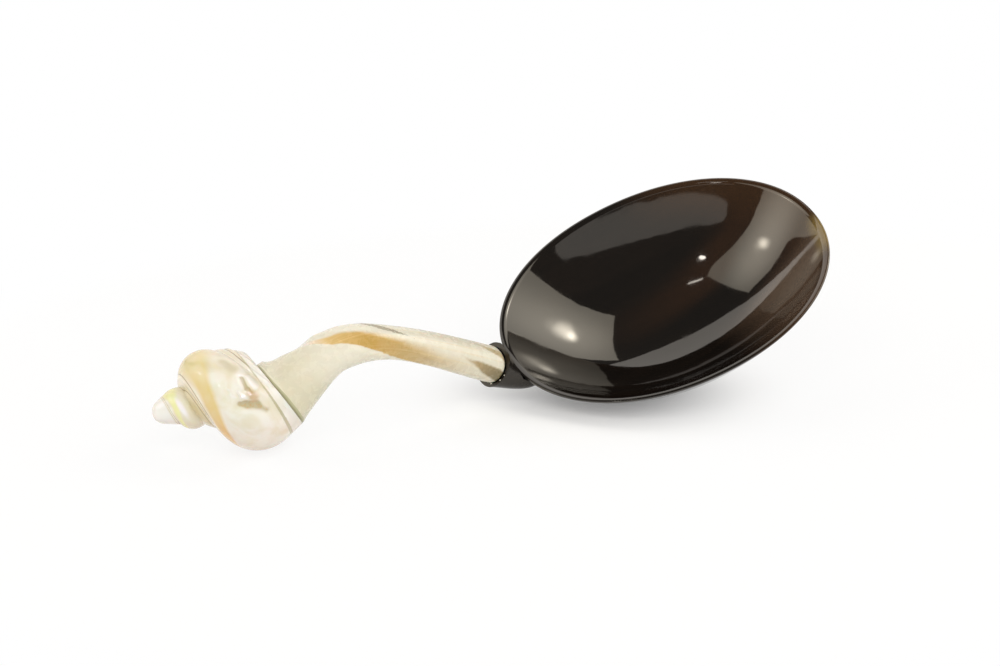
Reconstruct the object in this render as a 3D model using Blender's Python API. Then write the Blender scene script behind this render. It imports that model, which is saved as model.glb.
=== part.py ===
"""Rice serving spoon: a thin horn bowl on an arched handle of carved shell that ends in a turban shell.

The spoon is modelled level, with its origin at the middle of the bowl's rim: +X points to the tip of the
bowl and +Z points up out of it. An empty then lays it down the way it rests on a table, on the underside
of the bowl and on the turban shell, which are both ground flat there. All sizes are in metres.
"""
import math

import bmesh
import bpy
import numpy as np
from mathutils import Matrix, Vector

# Bowl
BOWL_LENGTH = 0.1094
BOWL_WIDTH = 0.0854
BOWL_DEPTH = 0.0288
BOWL_WALL = 0.0018
BOWL_FULLNESS = 2.2
RIM_SQUARENESS = 2.08

# Stem: its path from the turban shell's mouth over the crown of the arch to the tongue
STEM_REACH = 0.0636
STEM_DROP = 0.0343
CROWN_BACK = 0.0195
CROWN_RISE = 0.0060
NECK_RISE = math.radians(10.3)
TONGUE_PITCH = math.radians(47.5)
NECK_RADIUS = 0.0105
THROAT_RADIUS = 0.0091
CROWN_RADIUS = 0.0063
WAIST_RADIUS = 0.0050
TONGUE_RADIUS = 0.0057
TONGUE_ROUND = 0.0034
TIP_TURN = math.radians(65.0)
STEM_FLATNESS = 0.08
STEM_SQUARENESS = 2.2
NECK_FLARE = 8
NECK_BEND = 0.35
CROWN_BEND = 0.26
TONGUE_BEND = 0.33

# Places along the stem: the neck's end is 0, the crown 1 and the start of the tongue 2
FLAT_FULL = 0.8
WAIST_PLACE = 1.42
FACET_START = 0.3
FACET_FULL = 0.6
FACET_THINS = 1.25
FACET_END = 1.75
TWIST_START = 0.55
TWIST_END = 1.7

# Facet that winds round the stem, with its turn at the neck and the twist it makes on its way
FACET_DEPTH = 0.0008
FACET_TURN = math.radians(-46.6)
FACET_TWIST = math.radians(160.0)

# Heel socket: where the tongue meets the bowl, and the block around it
SEAT_OUT = 0.0064
SEAT_RISE = 0.0044
SEAT_WALL = 0.0010
SEAT_SLANT = 0.0014
SEAT_TURN = math.radians(53.0)
BLOCK_SQUARENESS = 2.3
KEEL_WIDTH = 0.0176
KEEL_END_WIDTH = 0.0140
KEEL_THICKNESS = 0.0084
KEEL_OUT = 0.0002
KEEL_SINK = 0.0034
KEEL_IN = 0.0025
KEEL_END_IN = 0.0088

# Turban shell: a coiled tube that grows by one factor on each turn, its blunt apex and its ground lip
SHELL_GROWTH = 2.60
SHELL_TURNS = 5.0
SHELL_TUBE = 0.0115
SHELL_CREST = 0.0224
SHELL_SPIRE = 0.0300
SHELL_DIP = math.radians(11.8)
SHELL_YAW = math.radians(-6.6)
SHELL_ROLL = math.radians(-15.2)
LIP_REACH = 0.0064
LIP_RISE = 0.0010
LIP_RADIUS = 0.0110
CORE_PLACE = 0.0209
CORE_RADIUS = 0.0125
APEX_BALL = 0.0037
APEX_RADIUS = 0.0002

# Filling, glue and pins
PLUG_RADIUS = 0.0080
PLUG_DEPTH = 0.0130
NECK_GLUE = 0.0007
SEAT_GLUE = 0.0006
SHELL_PIN_RADIUS = 0.0020
SHELL_PIN_HOLD = 0.0100
SOCKET_PIN_RADIUS = 0.00075
SOCKET_PIN_IN_STEM = 0.0120
SOCKET_PIN_IN_BLOCK = 0.0045
CLEARANCE = 0.0003

# Rest on the table
REST_ROLL = math.radians(21.3)
FLAT_DEPTH = 0.0004

# Mesh fineness
SHARP_ANGLE = math.radians(40.0)
RIM_POINTS = 56
BOWL_ROWS = 10
STEM_POINTS = 24
NECK_STEPS = 11
ARCH_STEPS = 24
TONGUE_STEPS = 5
KEEL_STEPS = 5
SHELL_POINTS = 36
SHELL_ROWS = 10
SHELL_WHORLS = 7
SEAM_CROWDING = 1.5
COIL_BALLS = 420
FILL_BALLS = 30
ROUND_POINTS = 24
DOME_STEPS = 5

HEEL = Vector((-BOWL_LENGTH / 2, 0, 0))
ACROSS = Vector((0, 1, 0))


def clear_scene():
    for old in list(bpy.data.objects):
        bpy.data.objects.remove(old, do_unlink=True)


def make_material(name, colour, roughness, metallic=0.0):
    """One plain surface."""
    material = bpy.data.materials.new(name)
    material.use_nodes = True
    shader = material.node_tree.nodes["Principled BSDF"]
    shader.inputs["Base Color"].default_value = (*colour, 1)
    shader.inputs["Roughness"].default_value = roughness
    shader.inputs["Metallic"].default_value = metallic
    return material


def add_object(name, bm, material=None):
    """Turn a bmesh into a named object, smooth where it is round."""
    bmesh.ops.recalc_face_normals(bm, faces=bm.faces)
    mesh = bpy.data.meshes.new(name)
    bm.to_mesh(mesh)
    bm.free()
    mesh.shade_smooth()
    mesh.set_sharp_from_angle(angle=SHARP_ANGLE)
    thing = bpy.data.objects.new(name, mesh)
    bpy.context.collection.objects.link(thing)
    if material:
        mesh.materials.append(material)
    else:
        thing.hide_render = True
        thing.display_type = "WIRE"
    return thing


def cut(thing, cutter):
    """Take the cutter's volume out of a piece."""
    boolean = thing.modifiers.new("cut_" + cutter.name, "BOOLEAN")
    boolean.operation = "DIFFERENCE"
    boolean.solver = "EXACT"
    boolean.object = cutter


def loft(rings):
    """A closed skin through rings of points; a ring of one point is a pole."""
    bm = bmesh.new()
    loops = [[bm.verts.new(point) for point in ring] for ring in rings]
    for low, high in zip(loops, loops[1:]):
        count = max(len(low), len(high))
        for i in range(count):
            j = (i + 1) % count
            corners = [low[i % len(low)], low[j % len(low)], high[j % len(high)], high[i % len(high)]]
            bm.faces.new(list(dict.fromkeys(corners)))
    for end in (loops[0], loops[-1]):
        if len(end) > 1:
            bm.faces.new(end)
    return bm


def superellipse(angle, half_a, half_b, power):
    """Distance from the centre to a superellipse, at an angle from its first axis."""
    a = abs(math.cos(angle) / half_a) ** power
    b = abs(math.sin(angle) / half_b) ** power
    return (a + b) ** (-1 / power)


def bezier(start, start_handle, end_handle, end, t):
    s = 1 - t
    return s ** 3 * start + 3 * s * s * t * start_handle + 3 * s * t * t * end_handle + t ** 3 * end


def ramp(place, start, end):
    """Rises smoothly from 0 at the start to 1 at the end."""
    t = min(max((place - start) / (end - start), 0), 1)
    return 0.5 - 0.5 * math.cos(math.pi * t)


def turned(profile, base, axis):
    """Rings about an axis, from pairs of distance along it and radius."""
    axis = axis.normalized()
    side = ACROSS
    up = axis.cross(side)
    rings = []
    for along, radius in profile:
        centre = base + axis * along
        if radius == 0:
            rings.append([centre])
            continue
        steps = [2 * math.pi * k / ROUND_POINTS for k in range(ROUND_POINTS)]
        rings.append([centre + (side * math.cos(a) + up * math.sin(a)) * radius for a in steps])
    return rings


# Bowl

def bowl_wall(inward):
    """Point and outward direction on the bowl's underside, at a level distance in from the heel."""
    share = 1 - inward / (BOWL_LENGTH / 2)
    drop = BOWL_DEPTH * (1 - share ** BOWL_FULLNESS)
    slope = BOWL_FULLNESS * BOWL_DEPTH * share ** (BOWL_FULLNESS - 1) / (BOWL_LENGTH / 2)
    return Vector((HEEL.x * share, 0, -drop)), Vector((-slope, 0, -1)).normalized()


def bowl_ring(share, inset, depth_inset, lift=0.0):
    """One ring of the bowl, inset from its outside."""
    half_length = BOWL_LENGTH / 2 - inset
    half_width = BOWL_WIDTH / 2 - inset
    depth = BOWL_DEPTH - depth_inset
    height = lift - depth * (1 - share ** BOWL_FULLNESS)
    ring = []
    for k in range(RIM_POINTS):
        angle = 2 * math.pi * k / RIM_POINTS
        radius = share * superellipse(angle, half_length, half_width, RIM_SQUARENESS)
        ring.append(Vector((radius * math.cos(angle), radius * math.sin(angle), height)))
    return ring


def rim_inset():
    """The wall's thickness measured level at the rim, where the wall leans out."""
    slope = BOWL_FULLNESS * BOWL_DEPTH / (BOWL_WIDTH / 2)
    return BOWL_WALL * math.sqrt(1 + 1 / slope ** 2)


def bowl_rows():
    """Shares of the rim for the rings, closer together toward the edge where the rim starts to round."""
    edge = (1 - 0.5 * BOWL_WALL / BOWL_DEPTH) ** (1 / BOWL_FULLNESS)
    return [edge * math.sin(0.5 * math.pi * (k + 1) / BOWL_ROWS) for k in range(BOWL_ROWS)]


def bowl_outside():
    rings = [[Vector((0, 0, -BOWL_DEPTH))]]
    rings += [bowl_ring(share, 0, 0) for share in bowl_rows()]
    return rings


def make_bowl(material):
    inset = rim_inset()
    round_rim = [(0.2, -0.12), (0.5, 0), (0.8, -0.12)]
    rings = bowl_outside()
    for across, lift in round_rim:
        rings.append(bowl_ring(1, across * inset, 0, lift * BOWL_WALL))
    rings += [bowl_ring(share, inset, BOWL_WALL) for share in reversed(bowl_rows())]
    rings.append([Vector((0, 0, BOWL_WALL - BOWL_DEPTH))])
    return add_object("bowl", loft(rings), material)


def make_bowl_cutter():
    """The space that the bowl and its opening take up, for fitting the heel block to it."""
    head_room = Vector((0, 0, BOWL_DEPTH))
    rings = [[Vector((0, 0, -BOWL_DEPTH - CLEARANCE))]]
    rings += [bowl_ring(share, -CLEARANCE, -CLEARANCE) for share in bowl_rows()]
    rim = bowl_ring(1, -CLEARANCE, -CLEARANCE)
    rings += [rim, [point + head_room for point in rim]]
    return add_object("bowl_space", loft(rings))


# Stem

def tongue_base():
    return HEEL + Vector((-SEAT_OUT, 0, SEAT_RISE))


def tongue_axis():
    return Vector((math.cos(TONGUE_PITCH), 0, -math.sin(TONGUE_PITCH)))


def mouth_centre():
    return tongue_base() + Vector((-STEM_REACH, 0, STEM_DROP - SEAT_RISE))


def neck_axis():
    return Vector((math.cos(NECK_RISE), 0, math.sin(NECK_RISE)))


def neck_start():
    """The neck's flat end, which stands off the shell's lip by the glue between them."""
    return mouth_centre() + neck_axis() * (NECK_GLUE + 2 * CLEARANCE)


def crown():
    return mouth_centre() + Vector((CROWN_BACK, 0, CROWN_RISE))


def stem_stations():
    """Centre, direction, radius and place along the stem, from the neck to the start of the tongue."""
    first, top, last = neck_start(), crown(), tongue_base()
    rise = (top - first).length
    fall = (last - top).length
    level = Vector((1, 0, 0))
    legs = [
        (first, first + neck_axis() * rise * NECK_BEND, top - level * rise * NECK_BEND, top, NECK_STEPS),
        (top, top + level * fall * CROWN_BEND, last - tongue_axis() * fall * TONGUE_BEND, last, ARCH_STEPS),
    ]
    points = []
    for leg, (a, b, c, d, steps) in enumerate(legs):
        points += [(bezier(a, b, c, d, k / steps), leg + k / steps) for k in range(steps)]
    points.append((last, len(legs)))
    stations = []
    for k, (centre, place) in enumerate(points):
        ahead = points[min(k + 1, len(points) - 1)][0]
        behind = points[max(k - 1, 0)][0]
        direction = (ahead - behind).normalized()
        if k == 0:
            direction = neck_axis()
        if k == len(points) - 1:
            direction = tongue_axis()
        stations.append((centre, direction, stem_radius(place), place))
    return stations


def stem_radius(place):
    """The stem's radius: a flared neck, a taper to the crown, a waist and a fuller tongue."""
    if place < 1:
        taper = CROWN_RADIUS + (THROAT_RADIUS - CROWN_RADIUS) * (1 - place)
        return taper + (NECK_RADIUS - THROAT_RADIUS) * (1 - place) ** NECK_FLARE
    if place < WAIST_PLACE:
        return CROWN_RADIUS + (WAIST_RADIUS - CROWN_RADIUS) * ramp(place, 1, WAIST_PLACE)
    return WAIST_RADIUS + (TONGUE_RADIUS - WAIST_RADIUS) * ramp(place, WAIST_PLACE, 2)


def stem_ring(centre, direction, radius, place):
    """One section of the stem: slightly wider than high, with the facet that winds round it."""
    up = Vector((-direction.z, 0, direction.x))
    flatness = STEM_FLATNESS * ramp(place, 0, FLAT_FULL)
    high = radius * (1 - flatness)
    wide = radius * (1 + flatness)
    facet_angle = FACET_TURN + FACET_TWIST * ramp(place, TWIST_START, TWIST_END)
    facet_depth = FACET_DEPTH * ramp(place, FACET_START, FACET_FULL) * ramp(place, FACET_END, FACET_THINS)
    facet = superellipse(facet_angle, high, wide, STEM_SQUARENESS) - facet_depth
    ring = []
    for k in range(STEM_POINTS):
        angle = 2 * math.pi * k / STEM_POINTS
        reach = superellipse(angle, high, wide, STEM_SQUARENESS)
        facing = math.cos(angle - facet_angle)
        if facing > 0:
            reach = min(reach, facet / facing)
        ring.append(centre + (up * math.cos(angle) - ACROSS * math.sin(angle)) * reach)
    return ring


def tongue_rings(spare, extra):
    """The rounded end of the stem, made larger all round by a spare gap and longer by an extra."""
    rings = []
    for k in range(TONGUE_STEPS):
        turn = TIP_TURN * (k + 1) / TONGUE_STEPS
        along = (TONGUE_ROUND + extra) * math.sin(turn) / math.sin(TIP_TURN)
        radius = (TONGUE_RADIUS + spare) * math.cos(turn)
        rings.append(stem_ring(tongue_base() + tongue_axis() * along, tongue_axis(), radius, 2))
    return rings


def make_stem(material):
    rings = [stem_ring(*station) for station in stem_stations()]
    return add_object("stem", loft(rings + tongue_rings(0, 0)), material)


def make_seat_cutter():
    """The hollow for the tongue, with room for the glue at its bottom, open well past the block."""
    back = tongue_base() - tongue_axis() * TONGUE_RADIUS * 2
    open_end = [stem_ring(p, tongue_axis(), TONGUE_RADIUS + CLEARANCE, 2) for p in (back, tongue_base())]
    room = SEAT_GLUE + 2 * CLEARANCE
    return add_object("seat_space", loft(open_end + tongue_rings(CLEARANCE, room)))


# Heel socket

def make_heel_socket(material):
    """A horn block that wraps the tongue, spreads under the bowl's heel and runs out into its wall."""
    mouth = TONGUE_RADIUS + SEAT_WALL
    heel_point, heel_out = bowl_wall(KEEL_IN)
    end_point, end_out = bowl_wall(KEEL_END_IN)
    thick = KEEL_THICKNESS / 2
    marks = np.array([
        [*tongue_base().xz, mouth, mouth],
        [*(heel_point + heel_out * KEEL_OUT).xz, thick, KEEL_WIDTH / 2],
        [*(end_point - end_out * (thick + KEEL_SINK)).xz, thick, KEEL_END_WIDTH / 2],
    ])
    rings = []
    step = 1 / KEEL_STEPS
    look = step / 4
    for k in range(KEEL_STEPS * (len(marks) - 1) + 1):
        x, z, high, wide = smooth_through(marks, k * step)
        ahead = smooth_through(marks, k * step + look)
        behind = smooth_through(marks, k * step - look)
        direction = Vector((ahead[0] - behind[0], 0, ahead[1] - behind[1])).normalized()
        slant = SEAT_SLANT * max(0, 1 - k * step)
        rings.append(block_ring(Vector((x, 0, z)), direction, high, wide, slant))
    return add_object("heel_socket", loft(rings), material)


def smooth_through(marks, place):
    """A smooth curve through rows of values; place counts the rows."""
    place = min(max(place, 0), len(marks) - 1)
    k = min(int(place), len(marks) - 2)
    t = place - k
    before = marks[max(k - 1, 0)]
    after = marks[min(k + 2, len(marks) - 1)]
    leave = 0.5 * (marks[k + 1] - before)
    arrive = 0.5 * (after - marks[k])
    return bezier(marks[k], marks[k] + leave / 3, marks[k + 1] - arrive / 3, marks[k + 1], t)


def block_ring(centre, direction, high, wide, slant):
    """One section of the block; the slant sets the mouth back on the side that faces up and out."""
    up = Vector((-direction.z, 0, direction.x))
    ring = []
    for k in range(ROUND_POINTS):
        angle = 2 * math.pi * k / ROUND_POINTS
        reach = superellipse(angle, high, wide, BLOCK_SQUARENESS)
        along = direction * slant * math.cos(angle - SEAT_TURN)
        ring.append(centre + along + (up * math.cos(angle) - ACROSS * math.sin(angle)) * reach)
    return ring


# Turban shell

def shell_turn():
    """Turns the shell's own frame, where X runs down its axis, to the way it sits on the neck."""
    dip = Matrix.Rotation(SHELL_DIP - NECK_RISE, 3, "Y")
    return dip @ Matrix.Rotation(SHELL_YAW, 3, "Z") @ Matrix.Rotation(SHELL_ROLL, 3, "X")


def lip_normal():
    """Direction out of the shell's mouth in the shell's own frame."""
    return shell_turn().inverted() @ neck_axis()


def lip_centre():
    """Middle of the shell's mouth in the shell's own frame, whose origin is the apex."""
    tube_end = Vector((SHELL_SPIRE, 0, SHELL_TUBE - SHELL_CREST))
    rise = shell_turn().inverted() @ Vector((0, 0, LIP_RISE))
    return tube_end + lip_normal() * LIP_REACH + rise


def shell_frame():
    """Places the shell's own frame so that its mouth meets the neck square on."""
    turn = shell_turn().to_4x4()
    return Matrix.Translation(mouth_centre()) @ turn @ Matrix.Translation(-lip_centre())


def shell_balls():
    """Centres and radii of the balls that fill the coiled tube, the apex, the core and the mouth."""
    back = np.linspace(SHELL_TURNS, 0, COIL_BALLS)
    size = SHELL_GROWTH ** -back
    swing = (SHELL_CREST - SHELL_TUBE) * size
    turn = 2 * np.pi * back
    coil = np.stack([SHELL_SPIRE * size, -swing * np.sin(turn), -swing * np.cos(turn)], axis=1)
    apex = np.array([[APEX_BALL, 0, 0]])
    centres, radii = [coil, apex], [SHELL_TUBE * size, np.array([APEX_BALL])]
    lip = np.array(lip_centre())
    beyond = lip + np.array(lip_normal()) * LIP_RADIUS
    core = np.array([CORE_PLACE, 0, 0])
    fills = [
        (coil[-1], SHELL_TUBE, lip),
        (core, CORE_RADIUS, lip),
        (lip, LIP_RADIUS, beyond),
    ]
    share = np.linspace(0, 1, FILL_BALLS)
    for start, radius, end in fills:
        centres.append(start + (end - start) * share[:, None])
        radii.append(radius + (LIP_RADIUS - radius) * share)
    return np.concatenate(centres), np.concatenate(radii)


def shell_reach(along, across, up, balls):
    """How far the balls reach from the axis, at one place along it and in one direction."""
    centres, radii = balls
    toward = centres[:, 1] * across + centres[:, 2] * up
    aside = centres[:, 1] ** 2 + centres[:, 2] ** 2 - toward ** 2
    room = radii ** 2 - aside - (along - centres[:, 0]) ** 2
    inside = room > 0
    if not inside.any():
        return APEX_RADIUS
    return max(float((toward[inside] + np.sqrt(room[inside])).max()), APEX_RADIUS)


def suture_start():
    """Where the last turn of the tube meets the turn before it, along the axis, below the mouth."""
    a = Vector((SHELL_SPIRE, SHELL_CREST - SHELL_TUBE))
    b = a / SHELL_GROWTH
    gap = (a - b).length
    small = SHELL_TUBE / SHELL_GROWTH
    along = (gap ** 2 + small ** 2 - SHELL_TUBE ** 2) / (2 * gap)
    aside = math.sqrt(max(small ** 2 - along ** 2, 0))
    step = (a - b) / gap
    return (b + step * along + Vector((-step.y, step.x)) * aside).x


def make_turban_shell(material):
    """Skin of the coiled tube: its rows wind with the coil, so that they follow the suture."""
    balls = shell_balls()
    start = suture_start()
    bm = bmesh.new()
    rows = []
    for whorl in range(1 - SHELL_WHORLS, 2):
        rows += [whorl + (j / SHELL_ROWS) ** SEAM_CROWDING for j in range(SHELL_ROWS)]
    grid = []
    for row in rows:
        line = []
        for i in range(SHELL_POINTS):
            turn = 2 * math.pi * i / SHELL_POINTS
            along = start * SHELL_GROWTH ** (row + i / SHELL_POINTS)
            across, up = math.sin(turn), -math.cos(turn)
            reach = shell_reach(along, across, up, balls)
            line.append(bm.verts.new((along, across * reach, up * reach)))
        grid.append(line)
    for j in range(len(rows) - SHELL_ROWS - 1):
        for i in range(SHELL_POINTS):
            low, high = grid[j], grid[j + 1]
            if i + 1 < SHELL_POINTS:
                bm.faces.new((low[i], low[i + 1], high[i + 1], high[i]))
            else:
                bm.faces.new((low[i], grid[j + SHELL_ROWS][0], grid[j + SHELL_ROWS + 1][0], high[i]))
    loose = [vert for vert in bm.verts if not vert.link_faces]
    bmesh.ops.delete(bm, geom=loose, context="VERTS")
    skin = bm.verts[:] + bm.edges[:] + bm.faces[:]
    bmesh.ops.bisect_plane(bm, geom=skin, plane_co=lip_centre(), plane_no=lip_normal(), clear_outer=True)
    bmesh.ops.holes_fill(bm, edges=[edge for edge in bm.edges if edge.is_boundary])
    bmesh.ops.transform(bm, matrix=shell_frame(), verts=bm.verts)
    return add_object("turban_shell", bm, material)


# Filling, glue and pins

def plug_profile(spare):
    """Profile of the filling, from the mouth inward, with a domed inner end."""
    radius = PLUG_RADIUS + spare
    straight = PLUG_DEPTH - PLUG_RADIUS
    turns = [0.5 * math.pi * k / DOME_STEPS for k in range(DOME_STEPS)]
    dome = [(-straight - radius * math.sin(turn), radius * math.cos(turn)) for turn in turns]
    return [(0, radius)] + dome + [(-straight - radius, 0)]


def make_plug(material):
    profile = plug_profile(0)
    return add_object("aperture_plug", loft(turned(profile, mouth_centre(), neck_axis())), material)


def make_plug_cutter():
    """The filling's hollow, carried on past the lip so that it opens cleanly."""
    past = NECK_GLUE + CLEARANCE
    profile = [(past, PLUG_RADIUS + CLEARANCE)] + plug_profile(CLEARANCE)[1:]
    return add_object("plug_space", loft(turned(profile, mouth_centre(), neck_axis())))


def make_rod(name, base, axis, start, end, radius, material=None):
    profile = [(start, radius), (end, radius)]
    return add_object(name, loft(turned(profile, base, axis)), material)


def washer(base, axis, start, thickness, inner, outer):
    """Rings of a flat ring: out along its back, over its edge, and in along its front."""
    profile = [(start, inner), (start, outer), (start + thickness, outer), (start + thickness, inner)]
    rings = turned(profile, base, axis)
    bm = bmesh.new()
    loops = [[bm.verts.new(point) for point in ring] for ring in rings]
    for low, high in zip(loops, loops[1:] + loops[:1]):
        for i in range(ROUND_POINTS):
            j = (i + 1) % ROUND_POINTS
            bm.faces.new((low[i], low[j], high[j], high[i]))
    return bm


# Rest pose

def world_points(things, turn):
    return np.array([turn @ vert.co for thing in things for vert in thing.data.vertices])


def rest_turn(bowl, shell):
    """Tips the spoon until the bowl and the turban shell come down to one level."""
    roll = Matrix.Rotation(REST_ROLL, 3, "X")
    least, most = math.radians(-20), math.radians(70)
    halvings = 50
    for step in range(halvings):
        pitch = 0.5 * (least + most)
        turn = Matrix.Rotation(-pitch, 3, "Y") @ roll
        if world_points([shell], turn)[:, 2].min() > world_points([bowl], turn)[:, 2].min():
            least = pitch
        else:
            most = pitch
    return turn


def lay_down(pieces, bowl, shell, others):
    """Parents everything to an empty that stands the spoon on the table, centred over the origin."""
    turn = rest_turn(bowl, shell)
    points = world_points(pieces, turn)
    low, high = points.min(axis=0), points.max(axis=0)
    rest = bpy.data.objects.new("rest", None)
    bpy.context.collection.objects.link(rest)
    middle = 0.5 * (low + high)
    rest.location = (-middle[0], -middle[1], -low[2] - FLAT_DEPTH)
    rest.rotation_euler = turn.to_euler()
    for thing in pieces + others:
        thing.parent = rest
    bm = bmesh.new()
    bmesh.ops.create_cube(bm, size=1)
    span = 4 * float((high - low).max())
    bmesh.ops.scale(bm, vec=(span, span, span), verts=bm.verts)
    bmesh.ops.translate(bm, vec=(0, 0, -0.5 * span), verts=bm.verts)
    table = add_object("table_space", bm)
    cut(bowl, table)
    cut(shell, table)


def main():
    clear_scene()
    horn = make_material("dark_horn", (0.020, 0.012, 0.008), 0.18)
    block_horn = make_material("block_horn", (0.016, 0.011, 0.009), 0.25)
    white_shell = make_material("carved_shell", (0.83, 0.79, 0.69), 0.35)
    pearl = make_material("pearl", (0.86, 0.82, 0.74), 0.22)
    resin = make_material("filling_resin", (0.45, 0.42, 0.34), 0.50)
    olive_glue = make_material("neck_glue_line", (0.30, 0.29, 0.20), 0.55)
    pale_glue = make_material("seat_glue", (0.80, 0.78, 0.70), 0.45)
    steel = make_material("shell_pin_steel", (0.55, 0.55, 0.56), 0.35, 1.0)
    small_steel = make_material("socket_pin_steel", (0.55, 0.55, 0.56), 0.35, 1.0)

    tongue_tip = tongue_base() + tongue_axis() * TONGUE_ROUND
    neck_gap = NECK_GLUE + 2 * CLEARANCE
    pin_spare = SHELL_PIN_RADIUS + CLEARANCE
    socket_spare = SOCKET_PIN_RADIUS + CLEARANCE

    bowl = make_bowl(horn)
    socket = make_heel_socket(block_horn)
    stem = make_stem(white_shell)
    shell = make_turban_shell(pearl)
    plug = make_plug(resin)
    shell_pin = make_rod("shell_pin", mouth_centre(), neck_axis(), -SHELL_PIN_HOLD,
                         neck_gap + SHELL_PIN_HOLD, SHELL_PIN_RADIUS, steel)
    socket_pin = make_rod("socket_pin", tongue_tip, tongue_axis(), -SOCKET_PIN_IN_STEM,
                          SOCKET_PIN_IN_BLOCK, SOCKET_PIN_RADIUS, small_steel)
    neck_ring = washer(mouth_centre(), neck_axis(), CLEARANCE, NECK_GLUE, pin_spare, NECK_RADIUS)
    neck_glue = add_object("neck_glue", neck_ring, olive_glue)
    tip_radius = TONGUE_RADIUS * (1 - STEM_FLATNESS) * math.cos(TIP_TURN)
    seat_ring = washer(tongue_tip, tongue_axis(), CLEARANCE, SEAT_GLUE, socket_spare, tip_radius)
    seat_glue = add_object("socket_glue", seat_ring, pale_glue)

    bowl_space = make_bowl_cutter()
    seat_space = make_seat_cutter()
    plug_space = make_plug_cutter()
    shell_bore = make_rod("shell_pin_space", mouth_centre(), neck_axis(), -SHELL_PIN_HOLD - CLEARANCE,
                          neck_gap + SHELL_PIN_HOLD + CLEARANCE, pin_spare)
    socket_bore = make_rod("socket_pin_space", tongue_tip, tongue_axis(), -SOCKET_PIN_IN_STEM - CLEARANCE,
                           SOCKET_PIN_IN_BLOCK + CLEARANCE, socket_spare)
    cut(socket, bowl_space)
    cut(socket, seat_space)
    cut(socket, socket_bore)
    cut(stem, socket_bore)
    cut(stem, shell_bore)
    cut(plug, shell_bore)
    cut(shell, plug_space)

    pieces = [bowl, socket, stem, shell, plug, shell_pin, socket_pin, neck_glue, seat_glue]
    lay_down(pieces, bowl, shell, [bowl_space, seat_space, plug_space, shell_bore, socket_bore])


main()
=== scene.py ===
# %% [markdown]
# # Rice serving spoon
# The spoon has a thin oval bowl of dark horn, a black horn block at its heel, an arched stem carved from
# white shell, and a polished turban shell on the end of the stem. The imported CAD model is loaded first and
# stays where it is. Every piece below is made in the same frame, in metres, with +Z up from the table.

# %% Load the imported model
import math

import bmesh
import bpy
import numpy as np
from mathutils import Matrix, Vector, noise


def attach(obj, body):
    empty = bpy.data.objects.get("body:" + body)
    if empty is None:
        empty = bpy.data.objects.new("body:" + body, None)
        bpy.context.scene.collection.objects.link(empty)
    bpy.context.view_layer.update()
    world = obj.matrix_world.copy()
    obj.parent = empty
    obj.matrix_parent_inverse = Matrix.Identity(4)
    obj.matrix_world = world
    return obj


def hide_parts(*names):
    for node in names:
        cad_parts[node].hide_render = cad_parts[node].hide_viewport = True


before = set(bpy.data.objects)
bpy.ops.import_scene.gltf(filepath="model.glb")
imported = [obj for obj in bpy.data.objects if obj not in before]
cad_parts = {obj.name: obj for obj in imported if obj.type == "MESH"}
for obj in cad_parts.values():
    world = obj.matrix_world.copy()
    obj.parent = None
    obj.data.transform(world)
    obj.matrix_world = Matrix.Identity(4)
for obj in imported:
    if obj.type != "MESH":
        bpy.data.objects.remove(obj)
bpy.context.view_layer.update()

# %% [markdown]
# ## The spoon's own frame
# A spoon is easier to draw level than lying down. In its own frame the origin is the middle of the bowl's
# rim, +X points to the tip and +Z points up out of the bowl. One matrix then lays it on the table, rolled
# to one side and tipped back onto the shell, as it lies in the photograph.

# %% Lay the spoon on the table
REST_PLACE = Vector((0.056979, -0.000120, 0.031583))
REST_ROLL = math.radians(21.3)
REST_PITCH = math.radians(21.7196)
rest_turn = Matrix.Rotation(-REST_PITCH, 4, "Y") @ Matrix.Rotation(REST_ROLL, 4, "X")
rest = Matrix.Translation(REST_PLACE) @ rest_turn


def lay_down(bm):
    """Moves a piece from the spoon's own frame to its place on the table."""
    bmesh.ops.transform(bm, matrix=rest, verts=bm.verts)


def face_out(bm):
    """Points every face outward, after the corners have moved."""
    bm.normal_update()
    bmesh.ops.recalc_face_normals(bm, faces=bm.faces)


def grind_flat(bm):
    """Cuts a piece level with the table, where it stands on it, and closes the cut."""
    skin = bm.verts[:] + bm.edges[:] + bm.faces[:]
    bmesh.ops.bisect_plane(bm, geom=skin, plane_co=(0, 0, 0), plane_no=(0, 0, -1), clear_outer=True)
    bmesh.ops.holes_fill(bm, edges=[edge for edge in bm.edges if edge.is_boundary])


def make_piece(name, bm, node=None, sharp=40):
    """Turns a bmesh into a smooth object that rides on the spoon and may stand for a CAD node."""
    mesh = bpy.data.meshes.new(name)
    bm.to_mesh(mesh)
    bm.free()
    mesh.shade_smooth()
    mesh.set_sharp_from_angle(angle=math.radians(sharp))
    piece = bpy.data.objects.new(name, mesh)
    bpy.context.scene.collection.objects.link(piece)
    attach(piece, "root")
    if node:
        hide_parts(node)
    print(name, "has", len(mesh.polygons), "faces")
    return piece


print("the spoon rolls", round(math.degrees(REST_ROLL), 1), "and tips", round(math.degrees(REST_PITCH), 1))

# %% [markdown]
# ## The camera
# One camera was fitted to the outline of the bowl's rim and of the handle in the photograph. It looks down
# at about 20 degrees through a long lens, so the far rim is hardly smaller than the near one.

# %% Set the camera
camera = bpy.data.objects.new("camera", bpy.data.cameras.new("camera"))
bpy.context.scene.collection.objects.link(camera)
camera.data.lens = 86.4
camera.data.sensor_width = 36.0
camera.location = (-0.2356, -0.6501, 0.2709)
camera.rotation_euler = [math.radians(angle) for angle in (70.21, -0.70, -19.88)]
bpy.context.scene.camera = camera
print("the camera stands", round(camera.location.length, 2), "m from the spoon")

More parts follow.
